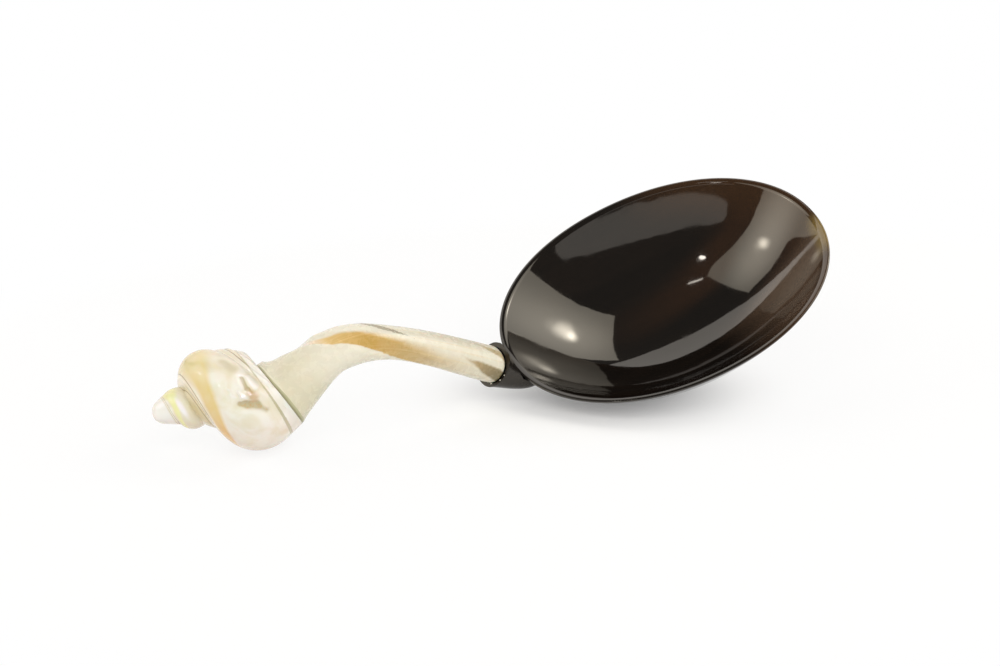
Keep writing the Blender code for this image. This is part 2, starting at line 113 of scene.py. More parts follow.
# %% [markdown]
# ## The horn bowl
# The bowl is one thin wall of pressed horn, about 1.8 mm thick, with a rounded rim. It could be one half
# of a ball with a Solidify modifier, but then its rim would be square and its outline a plain ellipse.
# Here a straight line is spun into a flat disc, and the disc is folded by a formula: the middle of the
# line becomes the rim, one half the outside and the other half the inside.

# %% Model the bowl
BOWL_LENGTH, BOWL_WIDTH, BOWL_DEPTH, BOWL_WALL = 0.1094, 0.0854, 0.0288, 0.0018
BOWL_FULLNESS, RIM_SQUARENESS = 2.2, 2.08
BOWL_ROWS, BOWL_STEPS, MERGE_GAP = 100, 240, 1e-6
RIM_START, RIM_END = 0.45, 0.55
edge_share = (1 - 0.5 * BOWL_WALL / BOWL_DEPTH) ** (1 / BOWL_FULLNESS)
rim_slope = BOWL_FULLNESS * BOWL_DEPTH / (BOWL_WIDTH / 2)
rim_width = BOWL_WALL * math.sqrt(1 + 1 / rim_slope ** 2)


def oval(angle, half_a, half_b, power):
    """Distance from the centre to a superellipse, at an angle from its first axis."""
    return (abs(math.cos(angle) / half_a) ** power + abs(math.sin(angle) / half_b) ** power) ** (-1 / power)


def wall_point(share, width, wall):
    """Share of the rim's radius, level distance inside it and height, on the outside or the inside."""
    return Vector((share, share * width, -(BOWL_DEPTH - wall) * (1 - share ** BOWL_FULLNESS)))


def bowl_section(t):
    """The bowl's cut wall, from the middle of the outside at 0 over the rim to the middle of the inside."""
    if t <= RIM_START:
        return wall_point(edge_share * math.sin(0.5 * math.pi * t / RIM_START), 0, 0)
    if t >= RIM_END:
        turn = 0.5 * math.pi * (1 - t) / (1 - RIM_END)
        return wall_point(edge_share * math.sin(turn), rim_width, BOWL_WALL)
    turn = math.pi * (t - RIM_START) / (RIM_END - RIM_START)
    outer, inner = wall_point(edge_share, 0, 0), wall_point(edge_share, rim_width, BOWL_WALL)
    middle, top = (outer + inner) / 2, Vector((1, rim_width / 2, 0))
    return middle - (inner - outer) / 2 * math.cos(turn) + (top - middle) * math.sin(turn)


bm = bmesh.new()
ends = [bm.verts.new((0, 0, 0)), bm.verts.new((1, 0, 0))]
bmesh.ops.subdivide_edges(bm, edges=[bm.edges.new(ends)], cuts=BOWL_ROWS - 1)
bmesh.ops.spin(bm, geom=bm.verts[:] + bm.edges[:], axis=(0, 0, 1), cent=(0, 0, 0), angle=2 * math.pi,
               steps=BOWL_STEPS, use_merge=True)
for vert in bm.verts:
    angle = math.atan2(vert.co.y, vert.co.x)
    share, inward, height = bowl_section(min(vert.co.xy.length, 1))
    radius = share * oval(angle, BOWL_LENGTH / 2, BOWL_WIDTH / 2, RIM_SQUARENESS) - inward
    vert.co = (radius * math.cos(angle), radius * math.sin(angle), height)
bmesh.ops.remove_doubles(bm, verts=bm.verts, dist=MERGE_GAP)
lay_down(bm)
grind_flat(bm)
face_out(bm)
horn_bowl = make_piece("horn_bowl", bm, "bowl")

# %% [markdown]
# ## The carved stem
# The stem is carved from the thick lip of a big shell. It leaves the turban shell in a flared neck, rises
# over a crown and drops to a rounded tongue in the horn block. A flat facet winds round it and lays bare a
# tan layer. A tube along a curve would give the path but not the facet, so a cone is cut into many rings
# and each ring is moved onto the path by a formula. The place along the stem and the angle round it are
# kept as a UV map, so that the colours can follow the carving.

# %% Work out the stem's path
STEM_REACH, STEM_DROP, CROWN_BACK, CROWN_RISE = 0.0636, 0.0343, 0.0195, 0.0060
NECK_RISE, TONGUE_PITCH = math.radians(10.3), math.radians(47.5)
NECK_RADIUS, THROAT_RADIUS, CROWN_RADIUS, WAIST_RADIUS, TONGUE_RADIUS = 0.0105, 0.0091, 0.0063, 0.0050, 0.0057
TONGUE_ROUND, TIP_TURN = 0.0034, math.radians(65)
NECK_BEND, CROWN_BEND, TONGUE_BEND, NECK_FLARE, WAIST_PLACE = 0.35, 0.26, 0.33, 8, 1.42
SEAT_OUT, SEAT_RISE = 0.0064, 0.0044
NECK_GLUE, CLEARANCE = 0.0007, 0.0003
tongue_base = Vector((-BOWL_LENGTH / 2 - SEAT_OUT, 0, SEAT_RISE))
tongue_axis = Vector((math.cos(TONGUE_PITCH), 0, -math.sin(TONGUE_PITCH)))
mouth_centre = tongue_base + Vector((-STEM_REACH, 0, STEM_DROP - SEAT_RISE))
neck_axis = Vector((math.cos(NECK_RISE), 0, math.sin(NECK_RISE)))
neck_start = mouth_centre + neck_axis * (NECK_GLUE + 2 * CLEARANCE)
crown = mouth_centre + Vector((CROWN_BACK, 0, CROWN_RISE))
rise, fall = (crown - neck_start).length, (tongue_base - crown).length
level = Vector((1, 0, 0))
stem_legs = [
    (neck_start, neck_start + neck_axis * rise * NECK_BEND, crown - level * rise * NECK_BEND, crown),
    (crown, crown + level * fall * CROWN_BEND, tongue_base - tongue_axis * fall * TONGUE_BEND, tongue_base),
]


def ramp(place, start, end):
    """Rises smoothly from 0 at the start to 1 at the end."""
    t = min(max((place - start) / (end - start), 0), 1)
    return 0.5 - 0.5 * math.cos(math.pi * t)


def stem_path(place):
    """Centre and direction of the stem: the neck is at place 0, the crown at 1 and the tongue at 2."""
    leg = 0 if place < 1 else 1
    a, b, c, d = stem_legs[leg]
    t = place - leg
    s = 1 - t
    centre = s ** 3 * a + 3 * s * s * t * b + 3 * s * t * t * c + t ** 3 * d
    direction = s * s * (b - a) + 2 * s * t * (c - b) + t * t * (d - c)
    return centre, direction.normalized()


def stem_radius(place):
    """A flared neck, a taper to the crown, a waist and a fuller tongue."""
    if place < 1:
        taper = CROWN_RADIUS + (THROAT_RADIUS - CROWN_RADIUS) * (1 - place)
        return taper + (NECK_RADIUS - THROAT_RADIUS) * (1 - place) ** NECK_FLARE
    if place < WAIST_PLACE:
        return CROWN_RADIUS + (WAIST_RADIUS - CROWN_RADIUS) * ramp(place, 1, WAIST_PLACE)
    return WAIST_RADIUS + (TONGUE_RADIUS - WAIST_RADIUS) * ramp(place, WAIST_PLACE, 2)


print("the stem's crown is", round(1000 * (rest @ crown).z, 1), "mm above the table")

# %% Model the stem
STEM_FLATNESS, STEM_SQUARENESS, FLAT_FULL = 0.08, 2.2, 0.8
FACET_DEPTH, FACET_TURN, FACET_TWIST = 0.0008, math.radians(-46.6), math.radians(160)
TWIST_START, TWIST_END = 0.55, 1.7
FACET_START, FACET_FULL, FACET_THINS, FACET_END = 0.3, 0.6, 1.25, 1.75
CARVING_MARKS, MARKS_SCALE, MARKS_START, MARKS_FULL, MARKS_FADE = 0.00004, 260, 0.05, 0.4, 1.8
NECK_STUB, NECK_EDGE, STEM_END = 0.0022, 0.001, 2.2
STEM_STEPS, STEM_POINTS, MARKS_SEED = 176, 112, 7


def stem_section(centre, direction, radius, place, angle):
    """A point on one section: slightly wider than high, with the facet that winds round it."""
    up = Vector((-direction.z, 0, direction.x))
    flatness = STEM_FLATNESS * ramp(place, 0, FLAT_FULL)
    high, wide = radius * (1 - flatness), radius * (1 + flatness)
    facet_angle = FACET_TURN + FACET_TWIST * ramp(place, TWIST_START, TWIST_END)
    depth = FACET_DEPTH * ramp(place, FACET_START, FACET_FULL) * ramp(place, FACET_END, FACET_THINS)
    reach = oval(angle, high, wide, STEM_SQUARENESS)
    facing = math.cos(angle - facet_angle)
    if facing > 0:
        reach = min(reach, (oval(facet_angle, high, wide, STEM_SQUARENESS) - depth) / facing)
    return centre + (up * math.cos(angle) - Vector((0, math.sin(angle), 0))) * reach


def stem_point(share, angle):
    """A point on the stem's skin, with faint marks of the knife; past place 2 it rounds the tongue's end."""
    place = share * STEM_END
    if place <= 2:
        centre, direction = stem_path(place)
        if place < NECK_EDGE:
            centre -= direction * NECK_STUB
        point = stem_section(centre, direction, stem_radius(place), place, angle)
        marks = CARVING_MARKS * ramp(place, MARKS_START, MARKS_FULL) * ramp(place, 2, MARKS_FADE)
        return point + noise.noise_vector(point * MARKS_SCALE) * marks
    turn = TIP_TURN * (place - 2) / (STEM_END - 2)
    centre = tongue_base + tongue_axis * TONGUE_ROUND * math.sin(turn) / math.sin(TIP_TURN)
    return stem_section(centre, tongue_axis, TONGUE_RADIUS * math.cos(turn), 2, angle)


def swept(point, steps, points):
    """A cone cut into rings and moved by a formula of the share along it and the angle round it."""
    bm = bmesh.new()
    bmesh.ops.create_cone(bm, cap_ends=True, segments=points, radius1=1, radius2=1, depth=1)
    sides = [edge for edge in bm.edges if abs(edge.verts[0].co.z - edge.verts[1].co.z) > 0.5]
    bmesh.ops.subdivide_edges(bm, edges=sides, cuts=steps - 1)
    wrap = bm.loops.layers.uv.new("wrap")
    for face in bm.faces:
        turns = [math.atan2(loop.vert.co.y, loop.vert.co.x) / (2 * math.pi) for loop in face.loops]
        crosses = max(turns) - min(turns) > 0.5 and len(turns) == 4
        for loop, turn in zip(face.loops, turns):
            round_turn = turn + 1 if crosses and turn < 0 else turn
            loop[wrap].uv = (loop.vert.co.z + 0.5, round_turn + 0.5)
    for vert in bm.verts:
        vert.co = point(vert.co.z + 0.5, math.atan2(vert.co.y, vert.co.x))
    face_out(bm)
    return bm


# A seed keeps the marks of the knife the same each time.
noise.seed_set(MARKS_SEED)
bm = swept(stem_point, STEM_STEPS, STEM_POINTS)
lay_down(bm)
shell_stem = make_piece("shell_stem", bm, "stem")

# %% [markdown]
# ## The horn block at the heel
# A small block of black horn is glued under the bowl's heel, and the stem's tongue sits in a hollow in it.
# It starts as a collar round the tongue, spreads and thins, and runs out into the bowl's wall. It is swept
# like the stem. Booleans then take out the room of the bowl and of the tongue, because the block has to
# fit both of them exactly.

# %% Shape the block
SEAT_WALL, SEAT_SLANT, SEAT_TURN, SEAT_SHORT = 0.0010, 0.0013, math.radians(15), 0.0015
KEEL_WIDTH, KEEL_END_WIDTH, KEEL_THICKNESS, BLOCK_SQUARENESS = 0.0176, 0.0140, 0.0084, 2.3
KEEL_OUT, KEEL_SINK, KEEL_IN, KEEL_END_IN = 0.0002, 0.0034, 0.0025, 0.0088
SHOULDER, SHOULDER_END, LOOK_AHEAD, SEAT_GLUE = 0.0016, 0.6, 0.05, 0.0006


def bowl_wall(inward):
    """Point and outward direction on the bowl's underside, at a level distance in from the heel."""
    share = 1 - inward / (BOWL_LENGTH / 2)
    point = Vector((-share * BOWL_LENGTH / 2, 0, -BOWL_DEPTH * (1 - share ** BOWL_FULLNESS)))
    slope = BOWL_FULLNESS * BOWL_DEPTH * share ** (BOWL_FULLNESS - 1) / (BOWL_LENGTH / 2)
    return point, Vector((-slope, 0, -1)).normalized()


heel_point, heel_out = bowl_wall(KEEL_IN)
end_point, end_out = bowl_wall(KEEL_END_IN)
half_thick = KEEL_THICKNESS / 2
collar = TONGUE_RADIUS + SEAT_WALL
block_marks = np.array([
    [*(tongue_base + tongue_axis * SEAT_SHORT).xz, collar, collar],
    [*(heel_point + heel_out * KEEL_OUT).xz, half_thick, KEEL_WIDTH / 2],
    [*(end_point - end_out * (half_thick + KEEL_SINK)).xz, half_thick, KEEL_END_WIDTH / 2],
])


def block_station(place):
    """A smooth curve through the marks: place along X and Z, and half the height and the width."""
    place = min(max(place, 0), len(block_marks) - 1)
    k = min(int(place), len(block_marks) - 2)
    t = place - k
    a, d = block_marks[k], block_marks[k + 1]
    b = a + (d - block_marks[max(k - 1, 0)]) / 6
    c = d - (block_marks[min(k + 2, len(block_marks) - 1)] - a) / 6
    return (1 - t) ** 3 * a + 3 * (1 - t) ** 2 * t * b + 3 * (1 - t) * t * t * c + t ** 3 * d


def block_point(share, angle):
    """A point on the block before it is cut, with a shoulder on top and a slanting mouth."""
    place = share * (len(block_marks) - 1)
    x, z, high, wide = block_station(place)
    run = block_station(place + LOOK_AHEAD) - block_station(place - LOOK_AHEAD)
    direction = Vector((run[0], 0, run[1])).normalized()
    up = Vector((-direction.z, 0, direction.x))
    reach = oval(angle, high, wide, BLOCK_SQUARENESS)
    reach += SHOULDER * ramp(place, 0, SHOULDER_END) * max(math.cos(angle), 0) ** 2
    slant = direction * SEAT_SLANT * max(0, 1 - place) * math.cos(angle - SEAT_TURN)
    return Vector((x, 0, z)) + slant + (up * math.cos(angle) - Vector((0, math.sin(angle), 0))) * reach


print("the block is", round(1000 * KEEL_WIDTH, 1), "mm wide under the heel")

# %% Shape the room for the tongue and the bowl
SEAT_BACK, SEAT_ROOM, ROOM_START = 2 * TONGUE_RADIUS, TONGUE_ROUND + SEAT_GLUE + 2 * CLEARANCE, 0.02


def seat_point(share, angle):
    """The tongue's hollow: a straight part that runs out past the block, then a rounded end."""
    radius = TONGUE_RADIUS + CLEARANCE
    if share < 0.5:
        centre = tongue_base - tongue_axis * SEAT_BACK * (1 - 2 * share)
        return stem_section(centre, tongue_axis, radius, 2, angle)
    turn = TIP_TURN * (2 * share - 1)
    centre = tongue_base + tongue_axis * SEAT_ROOM * math.sin(turn) / math.sin(TIP_TURN)
    return stem_section(centre, tongue_axis, radius * math.cos(turn), 2, angle)


def bowl_room(share, angle):
    """The space of the bowl and of what is above it."""
    rise = 2 * max(share - 0.5, 0) * BOWL_DEPTH
    share = min(max(2 * share, ROOM_START), 1)
    radius = share * (oval(angle, BOWL_LENGTH / 2, BOWL_WIDTH / 2, RIM_SQUARENESS) + CLEARANCE)
    height = rise - (BOWL_DEPTH + CLEARANCE) * (1 - share ** BOWL_FULLNESS)
    return Vector((radius * math.cos(angle), radius * math.sin(angle), height))


print("the tongue's hollow is", round(1000 * SEAT_ROOM, 1), "mm deep")

# %% Cut the block to fit
BLOCK_GRID, SEAT_GRID, BOWL_GRID, BLOCK_MERGE = (40, 72), (24, 72), (80, 144), 0.00003


def loose_object(name, bm):
    """An object that isn't a piece of the spoon."""
    mesh = bpy.data.meshes.new(name)
    bm.to_mesh(mesh)
    bm.free()
    thing = bpy.data.objects.new(name, mesh)
    bpy.context.scene.collection.objects.link(thing)
    return thing


blank = loose_object("block_blank", swept(block_point, *BLOCK_GRID))
rooms = [loose_object("tongue_room", swept(seat_point, *SEAT_GRID)),
         loose_object("bowl_room", swept(bowl_room, *BOWL_GRID))]
for room in rooms:
    fit = blank.modifiers.new("fit", "BOOLEAN")
    fit.operation, fit.solver, fit.object = "DIFFERENCE", "EXACT", room
bm = bmesh.new()
bm.from_object(blank, bpy.context.evaluated_depsgraph_get())
for thing in [blank] + rooms:
    bpy.data.objects.remove(thing, do_unlink=True)
# The cut leaves slivers and faces of many corners, so these are merged and split.
bmesh.ops.remove_doubles(bm, verts=bm.verts, dist=BLOCK_MERGE)
bmesh.ops.dissolve_degenerate(bm, dist=BLOCK_MERGE, edges=bm.edges)
bmesh.ops.triangulate(bm, faces=[face for face in bm.faces if len(face.verts) > 4])
lay_down(bm)
face_out(bm)
horn_block = make_piece("horn_block", bm, "heel_socket", sharp=35)

# %% [markdown]
# ## The turban shell
# The shell is a tube that coils round an axis and grows by the same factor on every turn. It is drawn here
# as a snail makes it: balls of growing size along the coil, and the skin is the farthest that any ball
# reaches from the axis. A grid gives the faces. Its columns go once round the axis, and its rows wind with
# the coil, so that they follow the seam between the turns. The grid's last column meets its first column
# one turn further on, and merging the doubles closes it.

# %% Work out the coil
SHELL_GROWTH, SHELL_TURNS, SHELL_TUBE, SHELL_CREST, SHELL_SPIRE = 2.60, 5.0, 0.0115, 0.0224, 0.0300
SHELL_DIP, SHELL_YAW, SHELL_ROLL = math.radians(11.8), math.radians(-6.6), math.radians(-15.2)
LIP_REACH, LIP_RISE, LIP_RADIUS, CORE_PLACE, CORE_RADIUS = 0.0064, 0.0010, 0.0110, 0.0217, 0.0116
APEX_BALL, SPIRE_PLACE, SPIRE_RADIUS = 0.0037, 0.0080, 0.0054
COIL_BALLS, FILL_BALLS = 900, 60
shell_turn = (Matrix.Rotation(SHELL_DIP - NECK_RISE, 3, "Y") @ Matrix.Rotation(SHELL_YAW, 3, "Z")
              @ Matrix.Rotation(SHELL_ROLL, 3, "X"))
lip_normal = shell_turn.inverted() @ neck_axis
tube_end = Vector((SHELL_SPIRE, 0, SHELL_TUBE - SHELL_CREST))
lip_centre = tube_end + lip_normal * LIP_REACH + shell_turn.inverted() @ Vector((0, 0, LIP_RISE))
shell_frame = Matrix.Translation(mouth_centre) @ shell_turn.to_4x4() @ Matrix.Translation(-lip_centre)

back = np.linspace(SHELL_TURNS, 0, COIL_BALLS)
size = SHELL_GROWTH ** -back
swing = (SHELL_CREST - SHELL_TUBE) * size
coil_turn = 2 * np.pi * back
coil = np.stack([SHELL_SPIRE * size, -swing * np.sin(coil_turn), -swing * np.cos(coil_turn)], axis=1)
ball_centres, ball_radii = [coil], [SHELL_TUBE * size]
core = np.array([CORE_PLACE, 0, 0])
lip = np.array(lip_centre)
apex, spire = np.array([APEX_BALL, 0, 0]), np.array([SPIRE_PLACE, 0, 0])
fills = [(coil[-1], SHELL_TUBE, lip, LIP_RADIUS), (core, CORE_RADIUS, lip, LIP_RADIUS),
         (lip, LIP_RADIUS, lip + np.array(lip_normal) * LIP_RADIUS, LIP_RADIUS),
         (apex, APEX_BALL, spire, SPIRE_RADIUS)]
fill_share = np.linspace(0, 1, FILL_BALLS)
for start, radius, end, end_radius in fills:
    ball_centres.append(start + (end - start) * fill_share[:, None])
    ball_radii.append(radius + (end_radius - radius) * fill_share)
ball_centres, ball_radii = np.concatenate(ball_centres), np.concatenate(ball_radii)
print("the coil has", len(ball_radii), "balls")

# %% Find the skin and the seam
def shell_reach(along, across, up):
    """How far the balls reach from the axis, at one place along it and in one direction."""
    toward = ball_centres[:, 1] * across + ball_centres[:, 2] * up
    aside = ball_centres[:, 1] ** 2 + ball_centres[:, 2] ** 2 - toward ** 2
    room = ball_radii ** 2 - aside - (along - ball_centres[:, 0]) ** 2
    inside = room > 0
    if not inside.any():
        return 0.0
    return max(float((toward[inside] + np.sqrt(room[inside])).max()), 0.0)


big, small = Vector((SHELL_SPIRE, SHELL_CREST - SHELL_TUBE)), SHELL_TUBE / SHELL_GROWTH
gap = big.length * (1 - 1 / SHELL_GROWTH)
seam_along = (gap ** 2 + small ** 2 - SHELL_TUBE ** 2) / (2 * gap)
seam_aside = math.sqrt(max(small ** 2 - seam_along ** 2, 0))
outward = big.normalized()
seam_start = (big / SHELL_GROWTH + outward * seam_along + Vector((-outward.y, outward.x)) * seam_aside).x
print("the last seam starts", round(1000 * seam_start, 1), "mm down the shell's axis")

# %% [markdown]
# ## Marks on the turban shell
# The real shell isn't smooth. Each seam is a beaded cord between two fine grooves, the whorls carry faint
# growth waves, and near the lip there are a shallow dent and a healed scar of folds and hollows. They are
# added as heights over the skin, at places given by the row (whole numbers are seams) and the turn round
# the axis. A fold is a stroke from one place to another, and its depth is kept for the colours: brown
# staining with painted shade in the hollows, and a painted highlight on the raised folds.

# %% List the marks
CORD_PLACE, CORD_WIDTH, CORD_HEIGHT, CORD_BEADS = 0.008, 0.026, 0.00020, 44
GROOVES, GROOVE_WIDTH, GROOVE_DEPTH = (-0.040, 0.055), 0.012, 0.00020
GROWTH_WAVES, WAVE_SCALE, WAVE_LEVEL, CORD_UNEVEN = 0.00004, (14, 1.2), 3, 0.3
CRINKLE, CRINKLE_SCALE, CRINKLE_LEVEL, SCAR_RADIUS = 0.00016, (110, 28), 7, 0.003
TURN_SPAN, ROW_SPAN = 0.094, 0.024
SCAR_TURN, SCAR_ROW = 0.705, -0.33
# Each fold has the turn and row of its start and of its end, its width and its height.
FOLDS = [
    ((0.585, -0.270), (0.612, -0.228), 0.0019, -0.00040),
    ((0.690, -0.430), (0.712, -0.290), 0.0006, 0.00045),
    ((0.720, -0.405), (0.729, -0.330), 0.0007, -0.00045),
    ((0.729, -0.330), (0.741, -0.255), 0.0012, -0.00050),
    ((0.741, -0.255), (0.775, -0.205), 0.0007, -0.00030),
    ((0.655, -0.212), (0.690, -0.245), 0.0007, -0.00050),
    ((0.694, -0.223), (0.709, -0.225), 0.0005, -0.00040),
    ((0.695, -0.380), (0.699, -0.368), 0.0005, -0.00040),
    ((0.657, -0.150), (0.699, -0.154), 0.0009, 0.00035),
    ((0.687, -0.336), (0.704, -0.328), 0.0005, 0.00040),
    ((0.674, -0.425), (0.682, -0.395), 0.0005, 0.00030),
    ((0.655, -0.262), (0.685, -0.285), 0.0007, 0.00030),
    ((0.712, -0.250), (0.722, -0.200), 0.0006, 0.00025),
]
print("the scar and the dent have", len(FOLDS), "folds")

# %% Work out the heights of the marks
def hump(distance, width):
    """A smooth hill, 1 at its top."""
    return math.exp(-(distance / width) ** 2)


def skin_place(turn, row):
    """A place on the last whorl, in metres round it and across it."""
    return Vector((turn * TURN_SPAN, row * ROW_SPAN))


def fold_heights(row, turn):
    """Height of each fold at a place; the skin is flat where no fold comes near."""
    spot = skin_place(turn, row)
    heights = []
    for start, end, width, height in FOLDS:
        start, end = skin_place(*start), skin_place(*end)
        run = end - start
        share = min(max((spot - start).dot(run) / run.length_squared, 0), 1)
        heights.append(height * hump((spot - start - run * share).length, width))
    return heights


def shell_marks(row, turn):
    """Height of the marks over the skin, and the depth of the scar and the dent alone."""
    beside = row - round(row)
    grown = min(SHELL_GROWTH ** (row + turn), 1)
    beads = 1 + CORD_UNEVEN * math.sin(2 * math.pi * CORD_BEADS * turn)
    height = grown * CORD_HEIGHT * beads * hump(beside - CORD_PLACE, CORD_WIDTH)
    for groove in GROOVES:
        height -= grown * GROOVE_DEPTH * hump(beside - groove, GROOVE_WIDTH)
    wave = Vector((WAVE_SCALE[0] * (row + turn), WAVE_SCALE[1] * beside, WAVE_LEVEL))
    height += grown * GROWTH_WAVES * noise.noise(wave)
    if row < -1:
        return height, 0
    folds = fold_heights(row, turn)
    near_scar = hump((skin_place(turn, row) - skin_place(SCAR_TURN, SCAR_ROW)).length, SCAR_RADIUS)
    folded = Vector((CRINKLE_SCALE[0] * turn, CRINKLE_SCALE[1] * row, CRINKLE_LEVEL))
    crinkle = CRINKLE * near_scar * noise.noise(folded)
    return height + sum(folds) + crinkle, -sum(folds) - crinkle


print("a mark at the scar is", round(1000 * shell_marks(SCAR_ROW, SCAR_TURN)[0], 2), "mm high")

# %% Lay out the rows of the shell
SHELL_ROWS, SHELL_POINTS, FIRST_WHORL, LAST_WHORL = 72, 240, -4, 1
SEAM_CROWDING, SCAR_CROWDING = 1.5, 0.45
CAP_START = FIRST_WHORL + 1
CAP_END = CAP_START + 1
LIP_TILT, MILLIMETRE, APEX_POINT = 0.12, 0.001, 0.0001
cut_normal = (neck_axis + Vector((0, LIP_TILT, 0))).normalized()


def along_axis(wound):
    """Distance from the apex: it grows with the coil, after a round cap at the apex."""
    if wound > CAP_END:
        return seam_start * SHELL_GROWTH ** wound
    return seam_start * SHELL_GROWTH ** CAP_END * max(wound - CAP_START, 0) ** 2


def scar_side(share):
    """Turn of a column; the columns stand closer where the scar is."""
    bend = math.sin(2 * math.pi * (share - SCAR_TURN)) + math.sin(2 * math.pi * SCAR_TURN)
    return share - SCAR_CROWDING * bend / (2 * math.pi)


row_count = SHELL_ROWS * (LAST_WHORL - FIRST_WHORL)
print("the shell's grid has", row_count, "by", SHELL_POINTS, "faces")

# %% Model the shell
bm = bmesh.new()
bmesh.ops.create_grid(bm, x_segments=row_count, y_segments=SHELL_POINTS, size=1)
wind = bm.loops.layers.uv.new("wind")
hollow = bm.verts.layers.float.new("hollow")
grid_place = {}
for vert in bm.verts:
    j = round((vert.co.x + 1) / 2 * row_count)
    share = round((vert.co.y + 1) / 2 * SHELL_POINTS) / SHELL_POINTS
    turn = scar_side(share)
    row = FIRST_WHORL + j // SHELL_ROWS + (j % SHELL_ROWS / SHELL_ROWS) ** SEAM_CROWDING
    grid_place[vert.index] = (row, turn)
for face in bm.faces:
    for loop in face.loops:
        row, turn = grid_place[loop.vert.index]
        loop[wind].uv = ((row - FIRST_WHORL) / (LAST_WHORL - FIRST_WHORL), turn)
for vert in bm.verts:
    row, turn = grid_place[vert.index]
    along = along_axis(row + turn)
    across, up = math.sin(2 * math.pi * turn), -math.cos(2 * math.pi * turn)
    height, depth = shell_marks(row, turn)
    reach = shell_reach(along, across, up)
    reach = max(reach + height * min(along / APEX_BALL, 1), 0)
    vert.co = (along, across * reach, up * reach)
    vert[hollow] = depth / MILLIMETRE
bmesh.ops.remove_doubles(bm, verts=bm.verts, dist=MERGE_GAP)
# The first rows crowd at the apex, so they become one point.
tip = [vert for vert in bm.verts if vert.co.length < APEX_POINT]
bmesh.ops.pointmerge(bm, verts=tip, merge_co=(0, 0, 0))
skin = bm.verts[:] + bm.edges[:] + bm.faces[:]
cut_way = shell_turn.inverted() @ cut_normal
bmesh.ops.bisect_plane(bm, geom=skin, plane_co=lip_centre, plane_no=cut_way, clear_outer=True)
bmesh.ops.holes_fill(bm, edges=[edge for edge in bm.edges if edge.is_boundary])
bmesh.ops.transform(bm, matrix=shell_frame, verts=bm.verts)
print("the shell's skin has", len(bm.verts), "points")

# %% [markdown]
# ## The ground lip
# The shell's mouth was ground flat, a little askew, and its edge was eased by hand. A pale band about
# 3 mm wide runs round it, with a fine olive line at its back that is lower on one side. The distance from
# that line is kept as an attribute for the colours, and the line itself is pressed in a little.

# %% Mark the lip
LINE_TOP, LINE_LOW, LINE_TOP_BACK, LINE_FALL = 0.0499, 0.0300, 0.00226, 0.087
LINE_DEPTH, LINE_WIDTH = 0.00010, 0.00030
LIP_EASE, EASE_START, EASE_FULL = 0.0010, LIP_RADIUS + 0.0002, LIP_RADIUS + 0.0012
LINE_CLEAR, CUT_CORNERS = 0.008, 12

lip_line = bm.verts.layers.float.new("lip_line")
for vert in bm.verts:
    ahead = (vert.co - mouth_centre).dot(cut_normal)
    aside = vert.co - mouth_centre - cut_normal * ahead
    line = -LINE_TOP_BACK - (LINE_TOP - vert.co.z) * LINE_FALL
    vert[lip_line] = (ahead - line) / MILLIMETRE
    inward = 0
    if aside.length > LINE_CLEAR:
        inward = LINE_DEPTH * hump(ahead - line, LINE_WIDTH) * ramp(vert.co.z, LINE_TOP, LINE_LOW)
    if ahead > -LIP_EASE:
        eased = LIP_EASE - math.sqrt(max(LIP_EASE ** 2 - (ahead + LIP_EASE) ** 2, 0))
        inward += eased * ramp(aside.length, EASE_START, EASE_FULL)
    if inward:
        vert.co -= aside.normalized() * inward
lay_down(bm)
grind_flat(bm)
face_out(bm)
turban = make_piece("pearl_turban", bm, "turban_shell")
for polygon in turban.data.polygons:
    if len(polygon.vertices) > CUT_CORNERS:
        polygon.use_smooth = False

# %% [markdown]
# ## Glue
# The neck is glued to the lip, and the joint was rubbed down with it, so the glue shows as a low ring that
# leads from the lip to the slightly narrower neck. Its section is a small square with soft corners, spun
# round the neck and made uneven with noise. At the horn collar a few pale drops of glue have squeezed out
# of the seat. They are tiny balls, flattened against the edge.

# %% Model the ring of glue
BEAD_INNER, BEAD_HALF, BEAD_SINK, BEAD_SOFT, BEAD_WAVES = 0.0085, 0.00072, 0.00006, 0.4, 0.00005
BEAD_MIDDLE = NECK_GLUE / 2 + CLEARANCE
RING_RADIUS, RING_CORNERS, RING_STEPS, RING_WAVES = 2, 28, 144, 9

neck_side = Vector((0, 1, 0))
neck_up = neck_axis.cross(neck_side)
bm = bmesh.new()
bmesh.ops.create_circle(bm, segments=RING_CORNERS, radius=1)
bmesh.ops.rotate(bm, verts=bm.verts, cent=(0, 0, 0), matrix=Matrix.Rotation(math.pi / 2, 3, "X"))
bmesh.ops.translate(bm, verts=bm.verts, vec=(RING_RADIUS, 0, 0))
bmesh.ops.spin(bm, geom=bm.verts[:] + bm.edges[:], axis=(0, 0, 1), cent=(0, 0, 0), angle=2 * math.pi,
               steps=RING_STEPS, use_merge=True)
glue_place = bm.verts.layers.float.new("glue_place")
for vert in bm.verts:
    flat = vert.co.xy.length
    toward = (neck_side * vert.co.x + neck_up * vert.co.y) / flat
    out = math.copysign(abs(flat - RING_RADIUS) ** BEAD_SOFT, flat - RING_RADIUS)
    along = math.copysign(abs(vert.co.z) ** BEAD_SOFT, vert.co.z)
    outside = LIP_RADIUS - BEAD_SINK - (LIP_RADIUS - NECK_RADIUS) * (along + 1) / 2
    uneven = BEAD_WAVES * noise.noise(toward * RING_WAVES + Vector((0, 0, along)))
    radius = BEAD_INNER + (outside + uneven - BEAD_INNER) * (out + 1) / 2
    ahead = BEAD_MIDDLE + along * BEAD_HALF
    vert[glue_place] = ahead / MILLIMETRE
    askew = LIP_TILT * toward.y * radius
    vert.co = mouth_centre + neck_axis * (ahead - askew) + toward * radius
face_out(bm)
lay_down(bm)
neck_bead = make_piece("neck_glue_bead", bm, "neck_glue")

